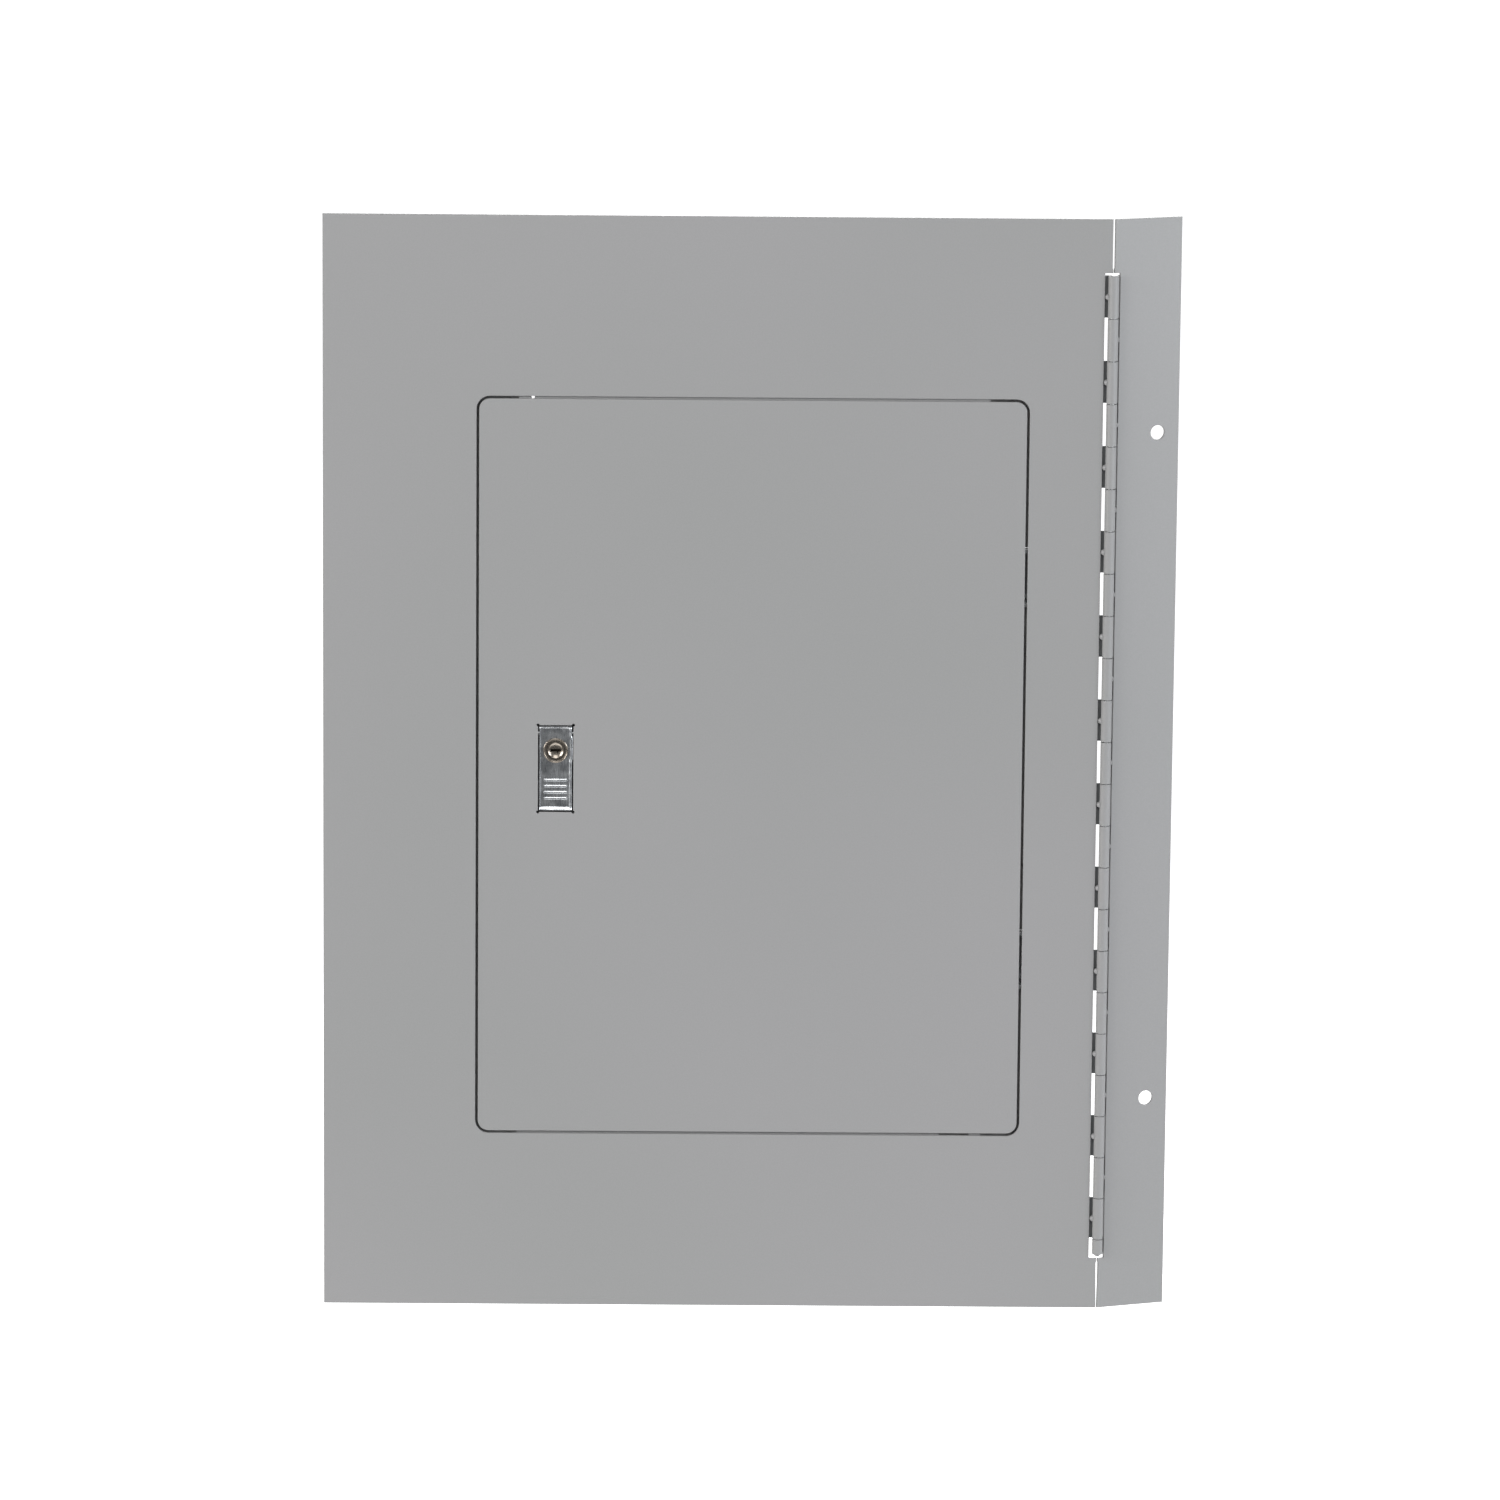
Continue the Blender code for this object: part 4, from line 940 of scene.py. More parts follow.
@dataclass(frozen=True)
class RuledCard(Finish):
    """Uncoated index card with plain printed rules and nothing written on it.

    The rules run across every 8 mm, 0.35 mm thick, with one upright rule down the middle.

    Attributes:
        ink: Colour of the rules.
        rule_spacing: Distance between rules.
        rule: Thickness of a rule.
        middle: Place of the upright rule.
        patch: Width of the patches of tint.
        fibre: Width of the paper's fibres.
    """

    ink: str = "#6f7880"
    rule_spacing: float = 8 * MM
    rule: float = 0.35 * MM
    middle: float = 0.0
    patch: float = 1.5 * MM
    fibre: float = 0.5 * MM

    def dress(self, tree: bpy.types.NodeTree, shader: bpy.types.Node, place: bpy.types.NodeSocket) -> None:
        """Sets up paper with rules, which are where the height or the place across is close enough.

        Args:
            tree: The material's nodes.
            shader: Its Principled shader.
            place: Object coordinates in metres.
        """
        split = add(tree, "ShaderNodeSeparateXYZ", {0: place})
        row = add(tree, "ShaderNodeMath", {0: split.outputs[2], 1: self.rule_spacing}, operation="PINGPONG")
        across = add(tree, "ShaderNodeMath", {0: split.outputs[0], 1: self.middle}, operation="SUBTRACT")
        side = add(tree, "ShaderNodeMath", {0: across.outputs[0]}, operation="ABSOLUTE")
        low, upright = (
            add(tree, "ShaderNodeMath", {0: away.outputs[0], 1: self.rule / 2}, operation="LESS_THAN")
            for away in (row, side)
        )
        ink = add(tree, "ShaderNodeMath", {0: low.outputs[0], 1: upright.outputs[0]}, operation="MAXIMUM")
        layers = {"Factor": ink.outputs[0], 6: self.blotches(tree, place, self.patch), 7: linear(self.ink)}
        mix = add(tree, "ShaderNodeMix", layers, data_type="RGBA")
        tree.links.new(mix.outputs[2], shader.inputs["Base Color"])
        shader.inputs["Roughness"].default_value = 0.9
        self.skin(tree, shader, place, (self.fibre, 4.0), None, (0.3, 0.03 * MM))


@dataclass(frozen=True)
class ClearSheet(Finish):
    """Extruded clear plastic, glossy, with faint rub marks.

    Attributes:
        patch: Width of the patches of tint.
        rub: Width of the rub marks.
    """

    patch: float = 20 * MM
    rub: float = 3 * MM

    def dress(self, tree: bpy.types.NodeTree, shader: bpy.types.Node, place: bpy.types.NodeSocket) -> None:
        """Sets up a clear body with rub marks in its gloss.

        Args:
            tree: The material's nodes.
            shader: Its Principled shader.
            place: Object coordinates in metres.
        """
        tree.links.new(self.blotches(tree, place, self.patch), shader.inputs["Base Color"])
        shader.inputs["Transmission Weight"].default_value = 0.92
        shader.inputs["IOR"].default_value = 1.49
        self.skin(tree, shader, place, (self.rub, 5.0), (0.04, 0.14), None)


# Mid-grey polyester powder coat: even, slightly cool, satin.
PAINT = PowderCoat("powder_coated_steel", "painted_steel", "#828281", "#858484")
# The same powder painted darker on the hinge's leaves behind the sheets: painted shade for the narrow gaps
# that the leaves are seen through.
SHADED_LEAF_PAINT = PowderCoat("thin_powder_coat", "painted_steel", "#626465", "#6b6d6e", roughness=0.55)
# Blue zinc plate on pressed steel: bright, cloudy, with faint rolling lines.
ZINC = PlatedMetal("zinc_plated_steel", "plated_steel", "#bfc1c2", "#b1b3b3", cloud=4 * MM)
# Drawn spring wire: darker, with lines along the wire.
WIRE = PlatedMetal("drawn_spring_wire", "spring_steel", "#8d9093", "#7b7e81", roughness=0.32)
# Stainless strip, buffed after pressing: a dark mirror with fine upright buffing lines.
STAINLESS = PlatedMetal(
    "buffed_stainless", "stainless", "#e2e4e6", "#9fa2a5", cloud=6 * MM, line=0.3 * MM, roughness=0.27
)
# Nickel on turned brass: warm, and glossier than the strip round it.
NICKEL = PlatedMetal(
    "nickel_plated_brass",
    "nickel",
    "#a1988d",
    "#8a8177",
    cloud=5 * MM,
    roughness=0.25,
    stretch=(1.0, 1.0, 1.0),
)
RUBBER = Matt("moulded_rubber", "rubber", "#1c1c1d", "#252526")
FIBRE = Matt("vulcanised_fibre", "fibre", "#5b4a3a", "#6a5644", roughness=0.7)
CLEAR = ClearSheet("clear_extruded_sheet", "clear_plastic", "#eef2f2", "#e6ebeb")


# Sub-assemblies


@dataclass
class Places:
    """Places that several sub-assemblies share, read from the frame.

    Attributes:
        hinge: Place of the piano hinge's axis, across and in depth.
        lean: How far the mounting flange is turned back, in radians.
    """

    hinge: Pair
    lean: float

    @classmethod
    def from_frame(cls) -> Places:
        """The shared places, worked out from the frame's joints and mounts."""
        joint = next(j for j in FRAME["record"]["behaviour"]["joints"] if j["name"] == "trim_swing")
        mount = next(m for m in FRAME["record"]["mounts"] if m["name"] == "flange_back")
        return cls((joint["pos_m"][0], joint["pos_m"][1]), math.atan2(-mount["axis"][0], mount["axis"][1]))

    def leaned(self) -> Matrix:
        """The turn about the hinge that carries the flange from flat to its resting lean."""
        axis = Vector((*self.hinge, 0))
        return Matrix.Translation(axis) @ Matrix.Rotation(self.lean, 4, "Z") @ Matrix.Translation(-axis)


@dataclass
class Sheets:
    """The trim sheet, the mounting flange and the door, all of one gauge of steel.

    Attributes:
        places: The shared places.
        thickness: Thickness of the steel.
        edge: Radius that the coat leaves on a sheared edge.
        door_gap: Gap round the door.
        door_corner: Radius of the door's corners.
        hinge_half_slot: From the middle down to the end of the hinge's slot.
        hinge_slot_top: From the middle up to its other end.
        trim_slot: From the hinge's axis to the slot's side in the trim.
        flange_slot: From the hinge's axis to the slot's side in the flange.
        sheet_gap: Gap between the trim and the flange, past the slot.
        flange_width: Width of the flange.
        trim_nib: Reach of the trim's nibs into the gap at the slot's ends.
        flange_nib: Reach of the flange's nibs.
        nib_height: Height of the nibs.
        nib_run: Height over which a nib runs out into the sheet's side.
        hole: Radius of the flange's screw holes.
        hole_beside: From the hinge's axis to the screw holes.
        hole_height: Height of the screw holes above and below the middle.
        seat: Depth of the recess that the hinge's leaf lies in.
        seat_corner: Radius of the recess's corners.
        seat_edge: Radius of the recess's edges.
        leaf_reach: From the hinge's axis to the recess's outer side.
        lock_clearance: Gap round the pull at its sides.
        lock_above: Gap above the pull.
        lock_below: Gap below the pull.
        relief: Radius of the punch's corner cuts.
        stud_radius: Radius of the welded studs.
        stud_pitch: Pitch of their threads.
        stud_root: From the door's back to where the thread starts.
        stud_length: Their length behind the door.
        stud_collar: Outline of a stud's weld from its axis out, in millimetres.
    """

    places: Places
    thickness: float = 1.9 * MM
    edge: float = 0.35 * MM
    door_gap: float = 1.6 * MM
    door_corner: float = 6.35 * MM
    hinge_half_slot: float = 299.4 * MM
    hinge_slot_top: float = 298.3 * MM
    trim_slot: float = 5.05 * MM
    flange_slot: float = 4.0 * MM
    sheet_gap: float = 1.45 * MM
    flange_width: float = 42.2 * MM
    trim_nib: float = 0.3 * MM
    flange_nib: float = 0.4 * MM
    nib_height: float = 2.0 * MM
    nib_run: float = 1.0 * MM
    hole: float = 4.35 * MM
    hole_beside: float = 29.5 * MM
    hole_height: float = 202.2 * MM
    seat: float = 0.1 * MM
    seat_corner: float = 1.0 * MM
    seat_edge: float = 0.02 * MM
    leaf_reach: float = 20.3 * MM
    lock_clearance: float = 0.8 * MM
    lock_above: float = 1.3 * MM
    lock_below: float = 1.6 * MM
    relief: float = 0.9 * MM
    stud_radius: float = 2.0 * MM
    stud_pitch: float = 0.7 * MM
    stud_root: float = 1.0 * MM
    stud_length: float = 9.0 * MM
    stud_collar: tuple[Pair, ...] = (
        (0, -0.2),
        (3.1, -0.2),
        (3.1, 0.25),
        (2.5, 0.6),
        (2.0, 0.75),
        (2.0, 1.4),
        (0, 1.4),
    )

    def slotted(self, edge: float, slot: float, nib: float, low: float, high: float) -> np.ndarray:
        """The hinge side of a sheet from bottom to top, with the slot that the barrel stands in.

        The punch leaves a nib at each corner of the slot, and the shear runs out a little downwards.

        Args:
            edge: Place of the sheet's side.
            slot: Place of the slot's side.
            nib: Place of the nibs' ends.
            low: The sheet's bottom.
            high: The sheet's top.

        Returns:
            The points in order.
        """
        base, top, size, run = -self.hinge_half_slot, self.hinge_slot_top, self.nib_height, self.nib_run
        lower = [(nib, low), (edge, base - size - run), (nib, base - size), (nib, base), (slot, base)]
        upper = [(slot, top), (nib, top), (nib, top + size), (edge, top + size + run), (edge, high)]
        return np.array(lower + upper)

    def build(self) -> None:
        """Builds the three sheets."""
        self.trim()
        self.flange()
        self.door()

    def trim(self) -> None:
        """The big flat sheet with the door's opening."""
        low, high, _ = measured("trim_sheet")
        door_low, door_high, _ = measured("door_sheet")
        gap = self.door_gap
        slot = self.places.hinge[0] - self.trim_slot
        side = self.slotted(high[0], slot, high[0] + self.trim_nib, low[2], high[2])
        outline = np.vstack([side, [(low[0], high[2]), (low[0], low[2])]])
        opening_low, opening_high = (door_low - gap)[[0, 2]], (door_high + gap)[[0, 2]]
        opening = rounded(opening_low, opening_high, self.door_corner + gap)
        shell = plate(outline, (low[1], high[1]), Axis.Y, (opening,), self.edge)
        new_piece("trim_sheet", shell, PAINT, "trim")

    def flange(self) -> None:
        """The narrow drilled flange, built flat and then leaned back about the hinge."""
        low, high, _ = measured("mounting_flange")
        front = measured("trim_sheet")[0][1]
        back = front + self.thickness
        axis = self.places.hinge[0]
        left, right = axis + self.sheet_gap / 2, axis + self.sheet_gap / 2 + self.flange_width
        side = self.slotted(left, axis + self.flange_slot, left - self.flange_nib, low[2], high[2])
        outline = np.vstack([side, [(right, high[2]), (right, low[2])]])
        holes = [circle((axis + self.hole_beside, sign * self.hole_height), self.hole) for sign in (-1, 1)]
        shell = plate(outline, (front, back), Axis.Y, holes, self.edge)
        aside, behind, half = 5 * MM, 2 * MM, self.hinge_half_slot
        recess_low = (left - aside, back - self.seat, -half)
        recess_high = (axis + self.leaf_reach, back + behind, half)
        recess = block(recess_low, recess_high, self.seat_corner, self.seat_edge, (8, 3))
        new_piece("mounting_flange", carved(shell, recess).moved(self.places.leaned()), PAINT, "flange")

    def door(self) -> None:
        """The flush door with the lock's cut-out and the two studs that hold the lock."""
        low, high, _ = measured("door_sheet")
        pull_low, pull_high, _ = measured("door_pull")
        cut_low = (pull_low[0] - self.lock_clearance, pull_low[2] - self.lock_below)
        cut_high = (pull_high[0] + self.lock_clearance, pull_high[2] + self.lock_above)
        cutout = relieved(cut_low, cut_high, self.relief)
        back = low[1] + self.thickness
        far = (high[0], back, high[2])
        shell = block(low, far, self.door_corner, self.edge, (8, 3), (cutout,))
        new_piece("door_sheet", shell, PAINT, "door")
        studs = []
        for side in ("upper", "lower"):
            x, _, z = measured(f"lock_nut_{side}")[2]
            span = (back + self.stud_root, back + self.stud_length)
            studs.append(thread(self.stud_radius, self.stud_pitch, span, (x, 0, z), Axis.Y))
            studs.append(lathe(np.array(self.stud_collar) * MM, (x, back, z), Axis.Y, 32))
        new_piece("lock_studs", together(studs), ZINC, "door", "door_sheet")


@dataclass
class PianoHinge:
    """The full-height hinge: two rolled leaves on one pin.

    Attributes:
        places: The shared places.
        radius: Radius of the barrel.
        leaf: Thickness of the leaves.
        length: Length of the hinge.
        pitch: Height of a knuckle with its gap.
        gap: Gap between knuckles.
        reach: From the axis to a leaf's outer edge.
        trim_notch: Room beside the barrel in the trim's leaf.
        flange_notch: Room beside the barrel in the flange's leaf.
        trim_nib: Reach of the tack welds on the trim's side.
        flange_nib: Reach of the tack welds on the flange's side.
        tack_radius: Radius of a tack weld where it meets the barrel.
        tack_depth: How far the welds are behind the axis.
        tack_root: How far they start inside the barrel.
        tongue: How far a leaf's tongues reach past the axis.
        curl: How far a knuckle is rolled round the pin, in quarter turns.
        leaf_edge: Radius of the leaves' edges.
        knuckle_edge: Radius of the knuckles' edges.
        pin_ease: Size of the chamfers on the pin.
    """

    places: Places
    radius: float = 3.2 * MM
    leaf: float = 1.2 * MM
    length: float = 593.7 * MM
    pitch: float = 25.4 * MM
    gap: float = 0.4 * MM
    reach: float = 19.8 * MM
    trim_notch: float = 2.8 * MM
    flange_notch: float = 0.35 * MM
    trim_nib: float = 1.75 * MM
    flange_nib: float = 0.75 * MM
    tack_radius: float = 1.9 * MM
    tack_depth: float = 0.1 * MM
    tack_root: float = 0.35 * MM
    tongue: float = 0.2 * MM
    curl: float = 3.55
    leaf_edge: float = 0.12 * MM
    knuckle_edge: float = 0.22 * MM
    pin_ease: float = 0.4 * MM

    def spans(self) -> list[Pair]:
        """Bottom and top of each knuckle, the top one first and a short one last."""
        tops = np.arange(self.length / 2, -self.length / 2 + self.gap, -self.pitch)
        bottoms = np.maximum(tops - self.pitch, -self.length / 2)
        return [(b + self.gap / 2, t - self.gap / 2) for b, t in zip(bottoms, tops)]

    def build(self) -> None:
        """Builds both leaves and the pin."""
        self.leaf_piece("trim", -1, self.trim_notch, self.trim_nib, Matrix.Identity(4))
        self.leaf_piece("flange", 1, self.flange_notch, self.flange_nib, self.places.leaned())
        low, high, _ = measured("hinge_pin")
        rod = pin((high[0] - low[0]) / 2, (low[2], high[2]), self.pin_ease, (*self.places.hinge, 0), Axis.Z)
        new_piece("hinge_pin", rod, ZINC, "flange")

    def leaf_piece(self, body: str, side: int, notch: float, nib: float, turn: Matrix) -> None:
        """Builds one leaf with its knuckles.

        The flat has a tongue for each knuckle. A knuckle is the tongue rolled on round the pin: an outer
        and an inner arc about the axis, pushed along the barrel.

        Args:
            body: The body that the leaf rides on, trim or flange.
            side: -1 for the trim's leaf, which has the top knuckle, and 1 for the flange's.
            notch: Room beside the barrel.
            nib: Reach of the tack welds.
            turn: Where the leaf is carried after it is built flat.
        """
        axis_x, axis_y = self.places.hinge
        back = axis_y + self.radius
        spans = self.spans()
        mine = [index % 2 == (side > 0) for index in range(len(spans))]
        edge = axis_x + side * (self.radius + notch)
        tongue = axis_x - side * self.tongue
        outline = [(axis_x + side * self.reach, spans[0][1]), (axis_x + side * self.reach, spans[-1][0])]
        for own, (low, high) in reversed(list(zip(mine, spans))):
            margin = 0 if own else self.gap
            x = tongue if own else edge
            outline += [(x, max(low - margin, spans[-1][0])), (x, min(high + margin, spans[0][1]))]
        flat = plate(np.array(outline), (back - self.leaf, back), Axis.Y, edge=self.leaf_edge, steps=2)
        # The flat leaf takes the darker grey, painted shade for the gaps behind the sheets.
        new_piece(f"{body}_hinge_leaf", flat.moved(turn), SHADED_LEAF_PAINT, body)
        # The curl starts straight behind the pin and runs away from the leaf.
        start, end = 1.0, 1.0 + self.curl
        outer = arc((0, 0), self.radius, start, end, 40)
        inner = arc((0, 0), self.radius - self.leaf, end, start, 40)
        section = np.vstack([outer, inner]) * (side, 1) + (axis_x, axis_y)
        shells = []
        for low, high in (span for own, span in zip(mine, spans) if own):
            shells.append(plate(section, (low, high), Axis.Z, edge=self.knuckle_edge))
            if high - low > self.pitch / 2:
                shells.append(self.tack(side, nib, (low + high) / 2))
        knuckles = together(shells).moved(turn)
        new_piece(f"{body}_hinge_knuckles", knuckles, PAINT, body, f"{body}_hinge_leaf")

    def tack(self, side: int, reach: float, height: float) -> Shell:
        """A small tack of weld between a knuckle and its sheet.

        Its radius falls from the knuckle outwards as the root of one less the share squared.

        Args:
            side: -1 towards the trim and 1 towards the flange.
            reach: How far it stands out from the barrel.
            height: Its height.

        Returns:
            A closed shell.
        """
        share = np.linspace(0, 1, 9)
        radius = self.tack_radius * np.sqrt(1 - share**2)
        along = side * (self.radius - self.tack_root + share * (reach + self.tack_root))
        profile = np.vstack([[(0, along[0])], np.stack([radius, along], -1)])
        x, y = self.places.hinge
        return lathe(profile, (x, y + self.tack_depth, height), Axis.X, 24)


@dataclass
class StopStrips:
    """The strips behind the opening that the door closes against.

    Attributes:
        peep: Radius of the small hole in the top strip, which lies level with the door's gap.
        peep_from_end: From the strip's left end to the hole.
        door_gap: Gap round the door.
        slot_width: Width of the bottom strip's slot.
        slot_from_end: From the strip's right end to the slot.
        corner: Radius of the flat strips' corners.
        edge: Radius of their edges.
        bend: Width of the rounded edges of the folded strips.
    """

    peep: float = 1.0 * MM
    peep_from_end: float = 8.4 * MM
    door_gap: float = 1.6 * MM
    slot_width: float = 18.0 * MM
    slot_from_end: float = 7.0 * MM
    corner: float = 0.5 * MM
    edge: float = 0.25 * MM
    bend: float = 0.4 * MM

    def build(self) -> None:
        """Builds the four strips."""
        door_low, door_high, _ = measured("door_sheet")
        low, high, _ = measured("stop_strip_top")
        level = door_high[2] + self.door_gap - self.door_gap / 2
        hole = circle((low[0] + self.peep_from_end, level), self.peep, 32)
        strip = block(low, high, self.corner, self.edge, holes=(hole,))
        new_piece("stop_strip_top", strip, PAINT, "trim")
        low, high, _ = measured("stop_strip_bottom")
        slot_right = high[0] - self.slot_from_end
        slot_left = slot_right - self.slot_width
        floor = door_low[2] - self.door_gap - self.door_gap
        outline = [(low[0], low[2]), (high[0], low[2]), (high[0], high[2]), (slot_right, high[2])]
        outline += [(slot_right, floor), (slot_left, floor), (slot_left, high[2]), (low[0], high[2])]
        strip = plate(np.array(outline), (low[1], high[1]), Axis.Y, edge=self.edge)
        new_piece("stop_strip_bottom", strip, PAINT, "trim")
        for side in ("left", "right"):
            softened(f"stop_strip_{side}", self.bend, PAINT, "trim")


@dataclass
class DoorHinges:
    """The two concealed goose-neck hinges and their pins.

    Attributes:
        soft: Width of the pressed parts' rounded edges.
        bracket_fill: How much taller the brackets are, to fill their notches in the right strip.
        dome: Height of the domes on the pins' ends.
        dome_outline: The domes' outline from the middle out, in shares of the pin's radius and of dome.
    """

    soft: float = 0.22 * MM
    bracket_fill: float = 1.7 * MM
    dome: float = 0.5 * MM
    dome_outline: tuple[Pair, ...] = ((0, 0), (0.6, 0), (0.9, 0.5), (1, 1))

    def build(self) -> None:
        """Builds both hinges."""
        for side in ("upper", "lower"):
            softened(f"door_hinge_bracket_{side}", self.soft, ZINC, "trim", self.bracket_fill)
            softened(f"door_hinge_arm_{side}", self.soft, ZINC, "door")
            self.domed_pin(f"door_hinge_pin_{side}")

    def domed_pin(self, node: str) -> None:
        """A pin with domed ends.

        Args:
            node: The pin's name.
        """
        low, high, (x, y, _) = measured(node)
        dome = np.array(self.dome_outline) * ((high[0] - low[0]) / 2, self.dome)
        profile = np.vstack([dome + (0, low[2]), (dome * (1, -1) + (0, high[2]))[::-1]])
        new_piece(node, lathe(profile, (x, y, 0), Axis.Z, 32), ZINC, "trim")


@dataclass
class DoorFittings:
    """The stiffening channels and the card holder on the door's back.

    Attributes:
        bend: Width of the rounded edges of the channels.
        soft: Width of the rounded edges of the card's frame.
        card_corner: Radius of the card's corners.
        card_edge: Radius of its edges.
        window_corner: Radius of the window's corners.
        window_edge: Radius of its edges.
    """

    bend: float = 0.4 * MM
    soft: float = 0.25 * MM
    card_corner: float = 2.0 * MM
    card_edge: float = 0.05 * MM
    window_corner: float = 1.0 * MM
    window_edge: float = 0.1 * MM

    def build(self) -> None:
        """Builds the channels, the card's frame, the card and its window."""
        for side in ("top", "bottom"):
            softened(f"door_stiffener_{side}", self.bend, PAINT, "door")
        softened("card_holder_frame", self.soft, ZINC, "door")
        low, high, middle = measured("directory_card")
        paper = RuledCard("ruled_index_card", "paper", "#e9e6db", "#efece3", middle=float(middle[0]))
        card = block(low, high, self.card_corner, self.card_edge, (6, 1))
        new_piece("directory_card", card, paper, "door")
        low, high, _ = measured("card_window")
        window = block(low, high, self.window_corner, self.window_edge, (4, 2))
        new_piece("card_window", window, CLEAR, "door")


@dataclass
class TrimFittings:
    """Captive screws, their retainers, the rubber bumpers and the earth stud.

    Attributes:
        screw_radius: Radius of the captive screws.
        screw_head: Height of their heads.
        screw_pitch: Pitch of their threads.
        slot: Half the width of a screw's slot.
        stud_radius: Radius of the earth stud.
        stud_pitch: Pitch of its thread.
        collar: Height of the stud's welded base.
        head_outline: A screw's head from its middle out, in shares of its radius and height.
        pad_shares: Share of a bumper's radius that is flat, and share of its height that is domed.
        sink_outline: A bumper's middle from the axis out, in shares of its radius and height.
    """

    screw_radius: float = 2.4 * MM
    screw_head: float = 2.6 * MM
    screw_pitch: float = 0.8 * MM
    slot: float = 0.5 * MM
    stud_radius: float = 3.0 * MM
    stud_pitch: float = 1.0 * MM
    collar: float = 1.5 * MM
    head_outline: tuple[Pair, ...] = (
        (0, 0),
        (0.72, 0),
        (0.9, 0.25),
        (0.985, 0.5),
        (1, 0.62),
        (1, 0.94),
        (0.97, 1),
    )
    pad_shares: Pair = (0.62, 0.42)
    sink_outline: tuple[Pair, ...] = ((0, 0.12), (0.3, 0.1), (0.42, 0.01))

    def build(self) -> None:
        """Builds the small parts on the trim."""
        for side in ("upper", "lower"):
            self.screw(f"trim_screw_{side}")
            self.retainer(f"screw_retainer_{side}")
            self.bumper(f"door_bumper_{side}")
        self.earth_stud()

    def screw(self, node: str) -> None:
        """A captive screw: a turned, slotted head on a threaded shank.

        Args:
            node: The screw's name.
        """
        low, high, (x, _, z) = measured(node)
        r, h = (high[2] - low[2]) / 2, self.screw_head
        profile = np.vstack([np.array(self.head_outline) * (r, h), [(0.8 * self.screw_radius, h), (0, h)]])
        head = lathe(profile, (x, low[1], z), Axis.Y, 48)
        past = r + 1 * MM
        slot_low = (x - past, low[1] - 1 * MM, z - self.slot)
        slot_high = (x + past, low[1] + h / 2, z + self.slot)
        head = carved(head, block(slot_low, slot_high, 0.05 * MM))
        shank = thread(self.screw_radius, self.screw_pitch, (low[1] + 0.9 * h, high[1]), (x, 0, z), Axis.Y)
        new_piece(node, head + shank, ZINC, "trim")

    def retainer(self, node: str) -> None:
        """A flat fibre washer.

        Args:
            node: The washer's name.
        """
        low, high, (x, _, z) = measured(node)
        hole = circle((x, z), self.screw_radius + 0.1 * MM, 32)
        disc = circle((x, z), (high[2] - low[2]) / 2, 48)
        new_piece(node, plate(disc, (low[1], high[1]), Axis.Y, (hole,), 0.12 * MM, 2), FIBRE, "trim")

    def bumper(self, node: str) -> None:
        """A moulded pad with a small sink in its middle and a quarter ellipse round it.

        Args:
            node: The pad's name.
        """
        low, high, (x, _, z) = measured(node)
        r, h = (high[2] - low[2]) / 2, high[1] - low[1]
        flat, domed = self.pad_shares
        bend = np.linspace(0, math.pi / 2, 7)
        dome = np.stack([r * (flat + (1 - flat) * np.sin(bend)), domed * h * (1 - np.cos(bend))], -1)
        back = [(r, 0.96 * h), (0.95 * r, h), (0, h)]
        profile = np.vstack([np.array(self.sink_outline) * (r, h), dome, back])
        new_piece(node, lathe(profile, (x, low[1], z), Axis.Y, 48), RUBBER, "trim")

    def earth_stud(self) -> None:
        """The welded stud and its nut."""
        low, high, (x, _, z) = measured("ground_stud")
        r, inner, top = (high[2] - low[2]) / 2, self.stud_radius, self.collar
        rod = thread(inner, self.stud_pitch, (low[1] + top, high[1]), (x, 0, z), Axis.Y)
        profile = [(0, 0), (r * 0.96, 0), (r, 0.3 * MM), (0.92 * r, 0.7 * MM), (0.78 * r, 1.1 * MM)]
        profile += [(inner, top), (inner, 2 * top), (0, 2 * top)]
        collar = lathe(profile, (x, low[1], z), Axis.Y, 48)
        new_piece("ground_stud", rod + collar, ZINC, "trim")
        new_piece("ground_nut", nut("ground_nut", inner + 0.15 * MM, (x, 0, z)), ZINC, "trim")


